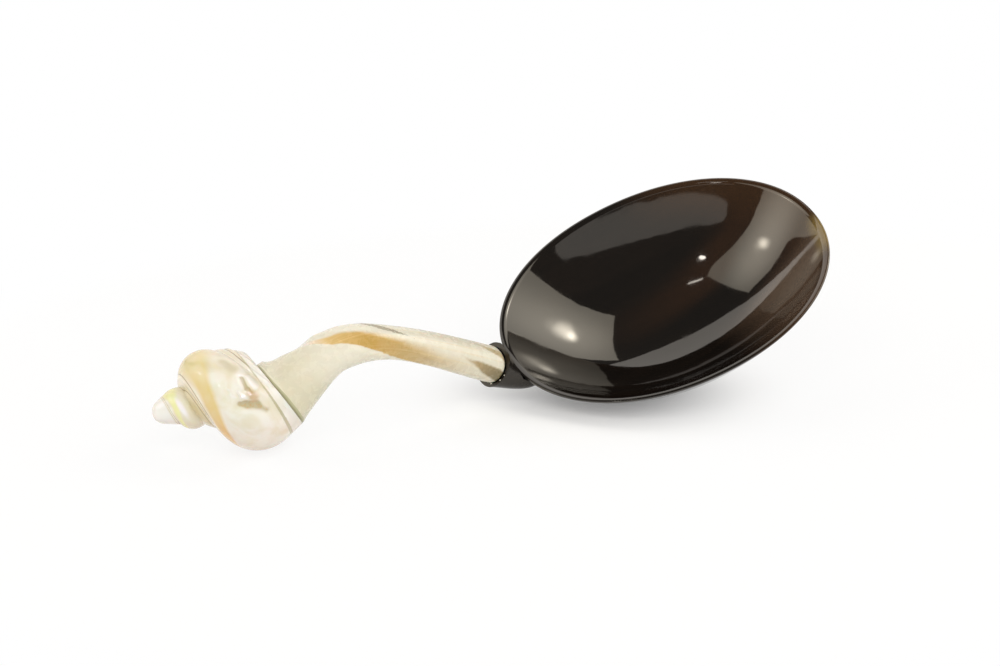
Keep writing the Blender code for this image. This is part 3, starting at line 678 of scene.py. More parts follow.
# %% Model the drops of glue
# Each drop has the angle of its place round the tongue, and its radius.
GLUE_DROPS = [(0.95, 0.00026), (1.30, 0.00020), (1.42, 0.00030), (1.75, 0.00022), (2.3, 0.00024)]
DROP_OUT, DROP_SHAPE = 0.0002, (1.2, 0.8, 0.7, 1)

bm = bmesh.new()
for angle, radius in GLUE_DROPS:
    place = stem_section(tongue_base, tongue_axis, TONGUE_RADIUS + DROP_OUT, 2, angle)
    slant = tongue_axis * (SEAT_SHORT + SEAT_SLANT * math.cos(angle - SEAT_TURN))
    drop = Matrix.Translation(place + slant) @ Matrix.Diagonal(DROP_SHAPE)
    bmesh.ops.create_icosphere(bm, subdivisions=3, radius=radius, matrix=drop)
lay_down(bm)
glue_drops = make_piece("glue_drops", bm)

# %% [markdown]
# ## A short way to write materials
# Every material below is a small tree of nodes. These helpers add one node each and join its inputs, so
# that a tree reads like a recipe: step makes an edge, cloud makes soft patches, tint mixes two colours.
# A name for an edge or a run holds where a step starts and ends, and often its low and its high value too.

# %% Node helpers
def join(tree, node, inputs):
    """Gives each input of a node its value, or joins it to a socket."""
    for key, value in inputs.items():
        if isinstance(value, bpy.types.NodeSocket):
            tree.links.new(value, node.inputs[key])
        else:
            node.inputs[key].default_value = value
    return node


def add(tree, kind, inputs=None, **settings):
    """Adds a node: its settings are attributes, and its inputs take a value or a socket to join."""
    node = tree.nodes.new("ShaderNode" + kind)
    for name, value in settings.items():
        setattr(node, name, value)
    return join(tree, node, inputs or {})


def calc(tree, operation, first, second=0.0):
    return add(tree, "Math", {0: first, 1: second}, operation=operation).outputs[0]


def times(tree, first, *others):
    """The product of two values or more."""
    for other in others:
        first = calc(tree, "MULTIPLY", first, other)
    return first


def apart(tree, first, second):
    """How far two values lie apart."""
    return calc(tree, "ABSOLUTE", calc(tree, "SUBTRACT", first, second))


def straight(tree, value, slope, start):
    """A straight line: the value times a slope, and a start."""
    return add(tree, "Math", {0: value, 1: slope, 2: start}, operation="MULTIPLY_ADD").outputs[0]


def waver(tree, clouds, size):
    """Makes a noise, which lies about a half, swing to both sides of nothing."""
    return straight(tree, clouds, size, -size / 2)


def step(tree, value, start, end, low=0.0, high=1.0):
    """Goes smoothly from low at the start to high at the end."""
    inputs = {"Value": value, "From Min": start, "From Max": end, "To Min": low, "To Max": high}
    return add(tree, "MapRange", inputs, interpolation_type="SMOOTHSTEP").outputs[0]


print("helpers for values are ready")

# %% More node helpers
def cloud(tree, vector, scale, detail=3.0, roughness=0.55, warp=0.0):
    """Soft noise from 0 to 1, with its scale, detail and roughness, and how far it is warped."""
    inputs = {"Vector": vector, "Scale": scale, "Detail": detail, "Roughness": roughness, "Distortion": warp}
    return add(tree, "TexNoise", inputs).outputs[0]


def tint(tree, share, first, second, blend="MIX"):
    """Mixes a share of the second colour into the first."""
    inputs = {0: share}
    for key, colour in ((6, first), (7, second)):
        inputs[key] = colour if isinstance(colour, bpy.types.NodeSocket) else (*colour, 1)
    return add(tree, "Mix", inputs, data_type="RGBA", blend_type=blend).outputs[2]


def split(tree, vector):
    return add(tree, "SeparateXYZ", {0: vector}).outputs


def attribute(tree, name):
    """A value that was kept on the points of a piece."""
    return add(tree, "Attribute", attribute_name=name, attribute_type="GEOMETRY").outputs["Fac"]


def stretched(tree, vector, scale):
    return add(tree, "Mapping", {"Vector": vector, "Scale": scale}).outputs[0]


def oval_distance(tree, vector, middle, half):
    """Distance from the middle of an oval, counted in its half widths."""
    inputs = {"Vector": vector, "Location": middle, "Scale": half}
    place = add(tree, "Mapping", inputs, vector_type="TEXTURE").outputs[0]
    return add(tree, "VectorMath", {0: place}, operation="LENGTH").outputs["Value"]


def bumped(tree, height, distance):
    return add(tree, "Bump", {"Height": height, "Distance": distance, "Strength": 1.0}).outputs[0]


print("helpers for colours and places are ready")

# %% Helpers for a whole material
def new_material(name, **plain):
    """A material with its shader; values that are the same all over are set on the shader itself."""
    material = bpy.data.materials.new(name)
    material.use_nodes = True
    shader = material.node_tree.nodes["Principled BSDF"]
    for socket, value in plain.items():
        shader.inputs[socket.replace("_", " ")].default_value = value
    return material, material.node_tree, shader


def bare_material(name):
    """A material without nodes, for the floor and the light cards."""
    material = bpy.data.materials.new(name)
    material.use_nodes = True
    material.node_tree.nodes.clear()
    return material, material.node_tree


def spoon_coordinates(tree):
    """The spoon's own coordinates, so that a grain can run along it although it lies tilted."""
    place = add(tree, "TexCoord").outputs["Object"]
    inputs = {"Vector": place, "Location": REST_PLACE, "Rotation": rest_turn.to_euler()}
    return add(tree, "Mapping", inputs, vector_type="TEXTURE").outputs[0]


def wear(tree, shader, **sockets):
    """Joins what changes over the surface to the shader."""
    for name, value in sockets.items():
        tree.links.new(value, shader.inputs[name.replace("_", " ")])


print("helpers for materials are ready")

# %% [markdown]
# ## Effects that several materials share
# Horn, shell and pearl are all polished by hand, which leaves faint smears and fine scratches. Horn also
# has a grain of long fibres. Each effect is built once as a node group, with its own inputs, and is then
# placed in every material that needs it.

# %% Node groups
ALONG_STROKES, ACROSS_STROKES = (1.2, 26.0, 26.0), (30.0, 2.0, 14.0)
LAYER_STRETCH, FIBRE_STRETCH = (14.0, 120.0, 120.0), (40.0, 1500.0, 1500.0)


def new_group(name, inputs, outputs):
    """An empty node group, with its first and last node."""
    tree = bpy.data.node_groups.new(name, "ShaderNodeTree")
    for direction, sockets in (("INPUT", inputs), ("OUTPUT", outputs)):
        for socket, kind in sockets.items():
            tree.interface.new_socket(socket, in_out=direction, socket_type="NodeSocket" + kind)
    return tree, tree.nodes.new("NodeGroupInput"), tree.nodes.new("NodeGroupOutput")


def use_group(tree, group, **inputs):
    """Places a group in a material and gives its outputs."""
    node = tree.nodes.new("ShaderNodeGroup")
    node.node_tree = group
    return join(tree, node, inputs).outputs


hand_polish, given, made = new_group("hand_polish", {"Vector": "Vector", "Scale": "Float"},
                                     {"Waves": "Float", "Scratches": "Float", "Smear": "Float"})
rubbed = add(hand_polish, "VectorMath", {0: given.outputs["Vector"], "Scale": given.outputs["Scale"]},
             operation="SCALE").outputs[0]
smear = cloud(hand_polish, rubbed, 2.5, 4.0, 0.6, 0.4)
lengthwise = cloud(hand_polish, stretched(hand_polish, rubbed, ALONG_STROKES), 1.0, 2.0)
crosswise = cloud(hand_polish, stretched(hand_polish, rubbed, ACROSS_STROKES), 1.0, 2.0)
scratches = calc(hand_polish, "ADD", step(hand_polish, lengthwise, 0.62, 0.75),
                 step(hand_polish, crosswise, 0.64, 0.76))
join(hand_polish, made, {"Waves": cloud(hand_polish, rubbed, 1.0, 2.0, 0.5, 0.3), "Scratches": scratches,
                         "Smear": step(hand_polish, smear, 0.35, 0.75)})

horn_grain, given, made = new_group("horn_grain", {"Vector": "Vector"},
                                    {"Layers": "Float", "Fibres": "Float"})
along_grain = stretched(horn_grain, given.outputs["Vector"], LAYER_STRETCH)
hair = stretched(horn_grain, given.outputs["Vector"], FIBRE_STRETCH)
join(horn_grain, made, {"Layers": cloud(horn_grain, along_grain, 1.0, 4.0, 0.55, 0.6),
                        "Fibres": cloud(horn_grain, hair, 1.0, 3.0, 0.6, 0.2)})
print("made the groups hand_polish and horn_grain")

# %% [markdown]
# ## Horn
# Horn is keratin in long layers. It is nearly black where it is thick and brown where light comes through:
# here a brown band runs along the bowl, the tip and the far rim are brown, and a short stretch of the rim
# is amber. The bands are drawn in the spoon's own coordinates, with an edge softened by the grain. The
# polish is so bright that the specular level is at its highest, and slightly warm.

# %% Bands in the bowl's horn
BAND_SLOPE, BAND_MIDDLE, BAND_SIDE, BAND_RUN = 0.108, 0.0129, (0.0090, 0.0010), (-0.030, 0.030)
RIM_HEIGHTS, RIM_RUN, TIP_RUN, HORN_WAVER = (-0.012, -0.001), (0.0, 0.030), (0.022, 0.047), 0.007
ROSE_RUN, ROSE_SIDE, ROSE_HEIGHTS = (0.008, 0.036), (-0.001, -0.010), (-0.0006, -0.0030, 0.15, 1.0)
AMBER_RUN, AMBER_MIDDLE, AMBER_SIDE, AMBER_HEIGHTS = (
    (0.040, 0.048), -0.0095, (0.0100, 0.0030), (-0.0040, -0.0005))
WARM_GLOSS, BOWL_POLISH = (1.0, 0.955, 0.88, 1), 70.0

bowl_horn, tree, shader = new_material("bowl_horn", IOR=1.55, Specular_IOR_Level=1.0,
                                       Specular_Tint=WARM_GLOSS)
spot = spoon_coordinates(tree)
x, y, z = split(tree, spot)
layers, fibres = use_group(tree, horn_grain, Vector=spot)
polish = use_group(tree, hand_polish, Vector=spot, Scale=BOWL_POLISH)
wobble = waver(tree, layers, HORN_WAVER)
toward_tip = calc(tree, "ADD", x, wobble)
off_band = apart(tree, calc(tree, "ADD", y, wobble), straight(tree, x, BAND_SLOPE, BAND_MIDDLE))
band = times(tree, step(tree, off_band, *BAND_SIDE), step(tree, x, *BAND_RUN))
brown = calc(tree, "MAXIMUM", band, step(tree, toward_tip, *TIP_RUN))
far_rim = times(tree, step(tree, z, *RIM_HEIGHTS), step(tree, x, *RIM_RUN))
# A rosy brown on the front wall toward the tip: partly the horn's own tone and partly a painted reflection of
# a lit band.
rose_and_reflection = times(tree, step(tree, toward_tip, *ROSE_RUN), step(tree, y, *ROSE_SIDE), step(tree, z, *ROSE_HEIGHTS))
amber = times(tree, step(tree, z, *AMBER_HEIGHTS), step(tree, apart(tree, y, AMBER_MIDDLE), *AMBER_SIDE),
              step(tree, toward_tip, *AMBER_RUN))
print("the bowl's horn has four bands")

# %% Colours and polish of the bowl
HORN_BLACK, HORN_DARK, FIBRE_SHADE = (0.0050, 0.0037, 0.0030), (0.0090, 0.0061, 0.0045), (0.62, 0.58, 0.55)
HORN_BROWN, HORN_THIN, HORN_ROSE_AND_REFLECTION, HORN_AMBER = (
    (0.026, 0.0122, 0.0058), (0.040, 0.0185, 0.0070), (0.096, 0.062, 0.041), (0.20, 0.136, 0.040))
BOWL_FIBRES, LAYER_EDGE = (0.40, 0.75, 0.0, 0.5), (0.35, 0.75)
BOWL_SHINE, BOWL_BUMP = (0.0, 2.0, 0.045, 0.12), 0.00008

colour = tint(tree, step(tree, layers, *LAYER_EDGE), HORN_BLACK, HORN_DARK)
for share, shade in ((brown, HORN_BROWN), (far_rim, HORN_THIN), (rose_and_reflection, HORN_ROSE_AND_REFLECTION), (amber, HORN_AMBER)):
    colour = tint(tree, share, colour, shade)
colour = tint(tree, step(tree, fibres, *BOWL_FIBRES), colour, FIBRE_SHADE, "MULTIPLY")
dull = calc(tree, "ADD", polish["Smear"], polish["Scratches"])
wear(tree, shader, Base_Color=colour, Roughness=step(tree, dull, *BOWL_SHINE),
     Normal=bumped(tree, polish["Waves"], BOWL_BUMP))
print("made the bowl's horn with", len(tree.nodes), "nodes")

# %% Horn of the block
BLOCK_FIBRE, BLOCK_FIBRES, BLOCK_GLOSS = (0.034, 0.028, 0.021), (0.45, 0.8, 0.0, 0.4), (1.0, 0.93, 0.82, 1)
BLOCK_POLISH, BLOCK_SHINE, BLOCK_SCRATCH, BLOCK_BUMP = 160.0, (0.0, 1.0, 0.16, 0.30), 0.1, 0.00010

block_horn, tree, shader = new_material("block_horn", IOR=1.55, Coat_Weight=0.15, Coat_Roughness=0.12,
                                        Specular_Tint=BLOCK_GLOSS)
spot = spoon_coordinates(tree)
layers, fibres = use_group(tree, horn_grain, Vector=spot)
polish = use_group(tree, hand_polish, Vector=spot, Scale=BLOCK_POLISH)
colour = tint(tree, step(tree, layers, *LAYER_EDGE), HORN_BLACK, HORN_DARK)
colour = tint(tree, step(tree, fibres, *BLOCK_FIBRES), colour, BLOCK_FIBRE)
relief = calc(tree, "SUBTRACT", polish["Waves"], times(tree, polish["Scratches"], BLOCK_SCRATCH))
wear(tree, shader, Base_Color=colour, Roughness=step(tree, polish["Smear"], *BLOCK_SHINE),
     Normal=bumped(tree, relief, BLOCK_BUMP))
print("made the block's horn with", len(tree.nodes), "nodes")

# %% [markdown]
# ## Carved shell
# The stem is white to cream with faint layers, and the facet lays bare a tan layer that turns from pink
# to gold and brown. The UV map gives the place along the stem and the angle round it, so each mark is an
# edge in those two values: the band, two brown streaks at the tongue and a tapered crack on top.

# %% Layers and tan band of the stem
THREAD_STRETCH, LINE_STRETCH, RIPPLE, STEM_POLISH = (50.0, 300.0, 300.0), (2.0, 0.16, 1.0), 14.0, 190.0
FACET_ANGLES = (TWIST_START, TWIST_END, math.degrees(FACET_TURN), math.degrees(FACET_TURN + FACET_TWIST))
TAN_ABOVE, TAN_BELOW, TAN_SOFT = (0.75, 1.50, 15.0, 46.0), (0.75, 1.55, 13.0, 27.0), (0.95, 1.55, 8.0, 34.0)
ABOVE_EDGE, BELOW_EDGE, TAN_STARTS, TAN_FADES = (-0.5, 0.8), (-2.0, 3.0), (0.62, 0.84), (1.48, 1.90, 1.0, 0.2)

carved_shell, tree, shader = new_material("carved_shell", IOR=1.53, Coat_Weight=0.2, Coat_Roughness=0.12,
                                          Subsurface_Weight=0.12, Subsurface_Scale=0.002)
spot = spoon_coordinates(tree)
along, turn, _ = split(tree, add(tree, "UVMap", uv_map="wrap").outputs[0])
place = times(tree, along, STEM_END)
angle = times(tree, calc(tree, "SUBTRACT", turn, 0.5), 360.0)
unrolled = add(tree, "CombineXYZ", {0: place, 1: angle}).outputs[0]
soft = cloud(tree, spot, 60.0, 2.0, 0.5, 0.5)
threads = cloud(tree, stretched(tree, spot, THREAD_STRETCH), 1.0, 3.0, 0.6, 0.6)
layer_lines = cloud(tree, stretched(tree, unrolled, LINE_STRETCH), 1.0, 2.0, 0.5, 0.3)
polish = use_group(tree, hand_polish, Vector=spot, Scale=STEM_POLISH)
rippled = calc(tree, "ADD", angle, waver(tree, threads, RIPPLE))

aside = calc(tree, "SUBTRACT", rippled, step(tree, place, *FACET_ANGLES))
above = calc(tree, "ADD", aside, step(tree, place, *TAN_ABOVE))
above = calc(tree, "DIVIDE", above, step(tree, place, *TAN_SOFT))
below = calc(tree, "SUBTRACT", step(tree, place, *TAN_BELOW), aside)
tan_band = times(tree, step(tree, above, *ABOVE_EDGE), step(tree, below, *BELOW_EDGE),
                 step(tree, place, *TAN_STARTS), step(tree, place, *TAN_FADES))
print("the tan band follows the facet over", round(math.degrees(FACET_TWIST)), "degrees")

# %% Colours of the stem
CREAM, NECK_PALE, PALE = (0.72, 0.680, 0.515), (0.75, 0.715, 0.565), (0.81, 0.78, 0.655)
WARM, STEM_GOLD, TAN_WAVER = (0.78, 0.68, 0.48), (0.79, 0.61, 0.28), 0.16
TAN_COLOURS = [(0.33, (0.89, 0.76, 0.65)), (0.44, (0.77, 0.56, 0.25)), (0.54, (0.56, 0.350, 0.088)),
               (0.64, (0.58, 0.40, 0.14)), (0.72, (0.62, 0.47, 0.24)), (0.86, (0.72, 0.62, 0.40))]
SOFT_EDGE, NECK_TO_PALE = (0.35, 0.65), (0.30, 1.05)
WARM_LINES, WARM_RUN, GOLD_LINES = (0.50, 0.75), (1.0, 1.4, 0.0, 0.8), (0.48, 0.72, 0.0, 0.32)

tan_ramp = add(tree, "ValToRGB", {0: calc(tree, "ADD", along, waver(tree, layer_lines, TAN_WAVER))})
while len(tan_ramp.color_ramp.elements) < len(TAN_COLOURS):
    tan_ramp.color_ramp.elements.new(0.5)
for element, (position, shade) in zip(tan_ramp.color_ramp.elements, TAN_COLOURS):
    element.position, element.color = position, (*shade, 1)
tan = tint(tree, step(tree, layer_lines, *GOLD_LINES), tan_ramp.outputs[0], STEM_GOLD)
colour = tint(tree, step(tree, soft, *SOFT_EDGE), CREAM, NECK_PALE)
colour = tint(tree, step(tree, place, *NECK_TO_PALE), colour, PALE)
warm = times(tree, step(tree, layer_lines, *WARM_LINES), step(tree, place, *WARM_RUN))
colour = tint(tree, warm, colour, WARM)
colour = tint(tree, tan_band, colour, tan)
print("the tan band has", len(TAN_COLOURS), "colours")

# %% Streaks and crack of the stem
STREAK, STREAK_EDGE, STREAK_TAN, CRACK = (
    (0.19, 0.140, 0.042), (0.40, 0.28, 0.115), (0.48, 0.36, 0.165), (0.28, 0.225, 0.135))
MAIN_STREAK, SIDE_STREAK = (55.0, 112.0, 1.70, 2.0, 19.0), (-16.0, 170.0, 1.80, 2.0, 15.0)
STREAK_SOFT, STREAK_RISE, STREAK_DARKENS = (-5.0, 5.0), 0.15, (1.80, 2.0)
MAIN_SHARE, SIDE_SHARE, CRACK_SHARE = 0.9, 0.8, 0.75
CRACK_START, CRACK_END, CRACK_ANGLE, CRACK_SLOPE = 1.110, 1.470, -57.5, 263.0
CRACK_HALF, CRACK_SOFT, CRACK_GRIT, CRACK_RAGGED = (-2.0, 13.0), (-2.0, 3.0), 1100.0, 22.0
STEM_SHINE, THREAD_RELIEF, STEM_BUMP = (0.0, 1.0, 0.22, 0.36), 0.4, 0.00005


def streak(middle, slope, first, last, width):
    """A wedge that opens toward the tongue; its middle is an angle at the first place, with a slope."""
    centre = straight(tree, calc(tree, "SUBTRACT", place, first), slope, middle)
    opening = step(tree, place, first, last, 0.0, width)
    inside = calc(tree, "SUBTRACT", opening, apart(tree, rippled, centre))
    return times(tree, step(tree, inside, *STREAK_SOFT), step(tree, place, first, first + STREAK_RISE))


brown = tint(tree, step(tree, place, *STREAK_DARKENS), STREAK_EDGE, STREAK)
colour = tint(tree, times(tree, streak(*MAIN_STREAK), MAIN_SHARE), colour, brown)
colour = tint(tree, times(tree, streak(*SIDE_STREAK), SIDE_SHARE), colour, STREAK_TAN)
crack_line = straight(tree, calc(tree, "SUBTRACT", place, CRACK_START), CRACK_SLOPE, CRACK_ANGLE)
ragged = waver(tree, cloud(tree, spot, CRACK_GRIT, 2.0), CRACK_RAGGED)
off_crack = calc(tree, "ADD", apart(tree, rippled, crack_line), ragged)
off_middle = apart(tree, place, (CRACK_START + CRACK_END) / 2)
crack_half = step(tree, off_middle, (CRACK_END - CRACK_START) / 2, 0.0, *CRACK_HALF)
crack = step(tree, calc(tree, "SUBTRACT", crack_half, off_crack), *CRACK_SOFT)
colour = tint(tree, times(tree, crack, CRACK_SHARE), colour, CRACK)
relief = calc(tree, "ADD", polish["Waves"], times(tree, threads, THREAD_RELIEF))
wear(tree, shader, Base_Color=colour, Roughness=step(tree, polish["Smear"], *STEM_SHINE),
     Normal=bumped(tree, calc(tree, "SUBTRACT", relief, crack), STEM_BUMP))
print("made the carved shell with", len(tree.nodes), "nodes")

# %% [markdown]
# ## Pearl
# Under its skin a turban shell is nacre: cream with pink and green clouds. A gold stripe follows each
# whorl, the whorl is tan before each seam, partly its own colour and partly painted shade, the apex is
# chalky white, and hollows are stained brown with painted shade. The raised folds carry a painted
# highlight, the second whorl a painted highlight patch, and the foot a warm painted shade near the table.
# The UV map gives the row and the turn, so stripes follow the coil. A thin film on the shader gives the
# pearly reflections.

# %% Nacre of the turban shell
PEARL_CREAM, PEARL_WHITE, PEARL_PINK, PEARL_GREEN = (
    (0.82, 0.760, 0.575), (0.91, 0.885, 0.785), (0.89, 0.795, 0.690), (0.81, 0.82, 0.63))
PEARL_STRAW, STRAW_TURNS, PEARL_POLISH = (0.78, 0.735, 0.545), (0.62, 0.52, 0.0, 0.75), 210.0
PINK_CLOUDS, GREEN_CLOUDS = (0.52, 0.70, 0.0, 0.28), (0.46, 0.28, 0.0, 0.5)

pearl, tree, shader = new_material("pearl", IOR=1.6, Coat_Weight=0.5, Coat_Roughness=0.06,
                                   Thin_Film_Thickness=330.0, Thin_Film_IOR=1.45,
                                   Subsurface_Weight=0.10, Subsurface_Scale=0.002)
spot = spoon_coordinates(tree)
height = split(tree, add(tree, "TexCoord").outputs["Object"])[2]
winding, turn, _ = split(tree, add(tree, "UVMap", uv_map="wind").outputs[0])
row = straight(tree, winding, LAST_WHORL - FIRST_WHORL, FIRST_WHORL)
part = calc(tree, "FRACT", row)
unwound = add(tree, "CombineXYZ", {0: turn, 1: row}).outputs[0]
soft = cloud(tree, spot, 110.0, 3.0, 0.5, 0.8)
patch = cloud(tree, spot, 170.0, 3.0, 0.5, 1.2)
crinkle = cloud(tree, spot, 620.0, 3.0, 0.6, 1.5)
polish = use_group(tree, hand_polish, Vector=spot, Scale=PEARL_POLISH)

colour = tint(tree, step(tree, soft, *SOFT_EDGE), PEARL_CREAM, PEARL_WHITE)
for share, shade in ((step(tree, patch, *PINK_CLOUDS), PEARL_PINK),
                     (step(tree, patch, *GREEN_CLOUDS), PEARL_GREEN),
                     (step(tree, turn, *STRAW_TURNS), PEARL_STRAW)):
    colour = tint(tree, share, colour, shade)
print("the nacre has clouds of five colours")

# %% Stripe of the turban shell
STRIPE_PALE, STRIPE_GOLD, STRIPE_ORANGE, STRIPE_YELLOW = (
    (0.79, 0.70, 0.36), (0.78, 0.61, 0.215), (0.82, 0.49, 0.090), (0.87, 0.88, 0.42))
STRIPE_MIDDLE, STRIPE_LIFT, STRIPE_HALF, STRIPE_NARROWS = (
    (0.50, 0.82, 0.34, 0.16), 0.09, (0.48, 0.66, 0.40, 0.15), (0.66, 0.80, 1.0, 0.60))
STRIPE_EDGE, STRIPE_SHARE, UPPER_ROWS = (1.15, 0.45), 0.92, (-0.98, -1.02)
GOLD_TURNS, ORANGE_TURNS, STRIPE_CLOUDS = (0.54, 0.66), (0.72, 0.82), (0.45, 0.70, 0.0, 0.15)

upper_whorl = step(tree, row, *UPPER_ROWS)
middle = calc(tree, "ADD", step(tree, turn, *STRIPE_MIDDLE), times(tree, upper_whorl, STRIPE_LIFT))
half = times(tree, step(tree, turn, *STRIPE_HALF), step(tree, turn, *STRIPE_NARROWS))
stripe = step(tree, calc(tree, "DIVIDE", apart(tree, part, middle), half), *STRIPE_EDGE)
gold = tint(tree, step(tree, turn, *GOLD_TURNS), STRIPE_PALE, STRIPE_GOLD)
for share, shade in ((step(tree, turn, *ORANGE_TURNS), STRIPE_ORANGE), (upper_whorl, STRIPE_YELLOW),
                     (step(tree, soft, *STRIPE_CLOUDS), PEARL_CREAM)):
    gold = tint(tree, share, gold, shade)
colour = tint(tree, times(tree, stripe, STRIPE_SHARE), colour, gold)
print("the stripe covers", round(100 * STRIPE_SHARE), "% of the nacre under it")

# %% Seams, a painted highlight and a painted shade at the foot of the turban shell
SEAM_TAN_AND_SHADE, SEAM_SHADE, CORD_WHITE, APEX_WHITE = (
    (0.65, 0.56, 0.26), (0.34, 0.28, 0.155), (0.93, 0.90, 0.76), (0.91, 0.90, 0.84))
TAN_PARTS, TAN_ROWS, TAN_TURN, TAN_TURNS = (0.66, 0.90), (-0.4, -0.95), 0.76, (0.16, 0.03, 0.20, 0.75)
PAINTED_GLINT_WHITE, PAINTED_GLINT_MIDDLE, PAINTED_GLINT_HALF, PAINTED_GLINT_EDGE = (
    (0.98, 0.94, 0.95), (0.68, -1.46, 0), (0.13, 0.15, 1), (1.0, 0.2))
CORD_EDGE, LINE_SHARP, LINE_SHARE, APEX_ROWS = (0.050, 0.015, 0.0, 0.8), 0.3, 0.8, (-1.95, -2.15)
FOOT_SHADE_TAN, FOOT_SHADE_HEIGHTS = (0.62, 0.40, 0.13), (0.0045, 0.0006, 0.0, 0.95)

# Tan before each seam: partly the whorl's own colour and partly painted shade in the hollow by the seam.
tan_and_shade_before_seam = times(tree, step(tree, part, *TAN_PARTS), step(tree, row, *TAN_ROWS),
                    step(tree, apart(tree, turn, TAN_TURN), *TAN_TURNS))
colour = tint(tree, tan_and_shade_before_seam, colour, SEAM_TAN_AND_SHADE)
# A painted highlight: a pinkish white patch on the second whorl, where a lamp would be mirrored.
painted_glint = oval_distance(tree, unwound, PAINTED_GLINT_MIDDLE, PAINTED_GLINT_HALF)
colour = tint(tree, step(tree, painted_glint, *PAINTED_GLINT_EDGE), colour, PAINTED_GLINT_WHITE)
colour = tint(tree, step(tree, apart(tree, part, CORD_PLACE), *CORD_EDGE), colour, CORD_WHITE)
for groove in GROOVES:
    off_groove = apart(tree, part, groove % 1)
    line = step(tree, off_groove, GROOVE_WIDTH, LINE_SHARP * GROOVE_WIDTH, 0.0, LINE_SHARE)
    colour = tint(tree, line, colour, SEAM_SHADE)
colour = tint(tree, step(tree, row, *APEX_ROWS), colour, APEX_WHITE)
# A warm painted shade on the shell's foot, darker toward the table.
colour = tint(tree, step(tree, height, *FOOT_SHADE_HEIGHTS), colour, FOOT_SHADE_TAN)
print("each seam has a cord and", len(GROOVES), "dark lines")

# %% Stains with painted shade, a painted highlight on the folds, and the lip of the turban shell
DENT_SHADE, HOLLOW_STAIN_AND_SHADE, STAIN_ORANGE, RIDGE_HIGHLIGHT = (
    (0.70, 0.645, 0.46), (0.56, 0.49, 0.29), (0.60, 0.42, 0.20), (0.90, 0.87, 0.79))
STAIN_TURNS, RUST_CLOUDS, RUST_TURNS = (0.63, 0.66), (0.50, 0.62), (0.685, 0.700)
RIDGE_DEPTHS, STAIN_DEPTHS = (-0.05, -0.30), (0.04, 0.40)
RUST_MIDDLE, RUST_HALF, RUST_EDGE = (0.717, -0.233, 0), (0.028, 0.075, 1), (1.0, 0.3, 0.0, 0.8)
LIP_RAGGED, LIP_PALES, LINE_HALF = 0.4, (0.0, 0.5, 0.0, 0.7), (0.030, 0.006, 0.20, 0.55)
LINE_OLIVE, LINE_SOFT, LINE_HEIGHTS = (0.50, 0.47, 0.29), (-0.12, 0.12), (0.036, 0.010, 0.50, 0.90)
PEARL_SHINE, PEARL_BUMP = (0.0, 1.0, 0.12, 0.22), 0.00006

depth = attribute(tree, "hollow")
hollow_stain_and_shade = tint(tree, step(tree, turn, *STAIN_TURNS), DENT_SHADE, HOLLOW_STAIN_AND_SHADE)
orange = times(tree, step(tree, crinkle, *RUST_CLOUDS), step(tree, turn, *RUST_TURNS))
hollow_stain_and_shade = tint(tree, orange, hollow_stain_and_shade, STAIN_ORANGE)
# A painted highlight on the raised folds of the scar.
colour = tint(tree, step(tree, depth, *RIDGE_DEPTHS), colour, RIDGE_HIGHLIGHT)
# Brown staining in the hollows of the scar and the dent, deepened with their depth as painted shade.
colour = tint(tree, step(tree, depth, *STAIN_DEPTHS), colour, hollow_stain_and_shade)
rust = oval_distance(tree, unwound, RUST_MIDDLE, RUST_HALF)
colour = tint(tree, step(tree, rust, *RUST_EDGE), colour, STAIN_ORANGE)

lip_place = calc(tree, "ADD", attribute(tree, "lip_line"), waver(tree, crinkle, LIP_RAGGED))
colour = tint(tree, step(tree, lip_place, *LIP_PALES), colour, APEX_WHITE)
inside = calc(tree, "SUBTRACT", step(tree, height, *LINE_HALF), calc(tree, "ABSOLUTE", lip_place))
line = times(tree, step(tree, inside, *LINE_SOFT), step(tree, height, *LINE_HEIGHTS))
colour = tint(tree, line, colour, LINE_OLIVE)
wear(tree, shader, Base_Color=colour, Roughness=step(tree, polish["Smear"], *PEARL_SHINE),
     Normal=bumped(tree, polish["Waves"], PEARL_BUMP))
print("made the pearl with", len(tree.nodes), "nodes")

# %% [markdown]
# ## Glue, filling and pins
# These are mostly hidden, but each has its own finish: two glues, clouded and a little pitted, a dull
# resin with filler grains, and steel dowels brushed along their length.

# %% Glue of the neck
GLUE_CORE, GLUE_OLIVE, GLUE_PALE = (0.30, 0.29, 0.16), (0.47, 0.46, 0.28), (0.79, 0.755, 0.60)
GLUE_REACH, BARE_HEIGHT, BARE_EDGE = (0.042, 0.012, 0.90, 1.20), 0.024, (0.007, 0.001, 0.0, 0.40)
CORE_EDGE, OLIVE_EDGE, OLIVE_TOP = (0.25, 0.70), (0.85, 1.30), (0.0390, 0.0430)
GLUE_RAGGED, GLUE_SHINE, GLUE_BUMP = 0.5, (0.3, 0.7, 0.30, 0.50), 0.00006

neck_glue_line, tree, shader = new_material("neck_glue_line", IOR=1.5)
spot = add(tree, "TexCoord").outputs["Object"]
height = split(tree, spot)[2]
clouds = cloud(tree, spot, 260.0, 4.0, 0.6, 0.5)
ahead = calc(tree, "ADD", attribute(tree, "glue_place"), waver(tree, clouds, GLUE_RAGGED))
bare = step(tree, apart(tree, height, BARE_HEIGHT), *BARE_EDGE)
share = calc(tree, "DIVIDE", ahead, calc(tree, "SUBTRACT", step(tree, height, *GLUE_REACH), bare))
colour = tint(tree, step(tree, share, *CORE_EDGE), GLUE_CORE, GLUE_OLIVE)
colour = tint(tree, step(tree, share, *OLIVE_EDGE), colour, GLUE_PALE)
colour = tint(tree, step(tree, height, *OLIVE_TOP), colour, GLUE_PALE)
wear(tree, shader, Base_Color=colour, Roughness=step(tree, clouds, *GLUE_SHINE),
     Normal=bumped(tree, clouds, GLUE_BUMP))
print("made the neck's glue with", len(tree.nodes), "nodes")

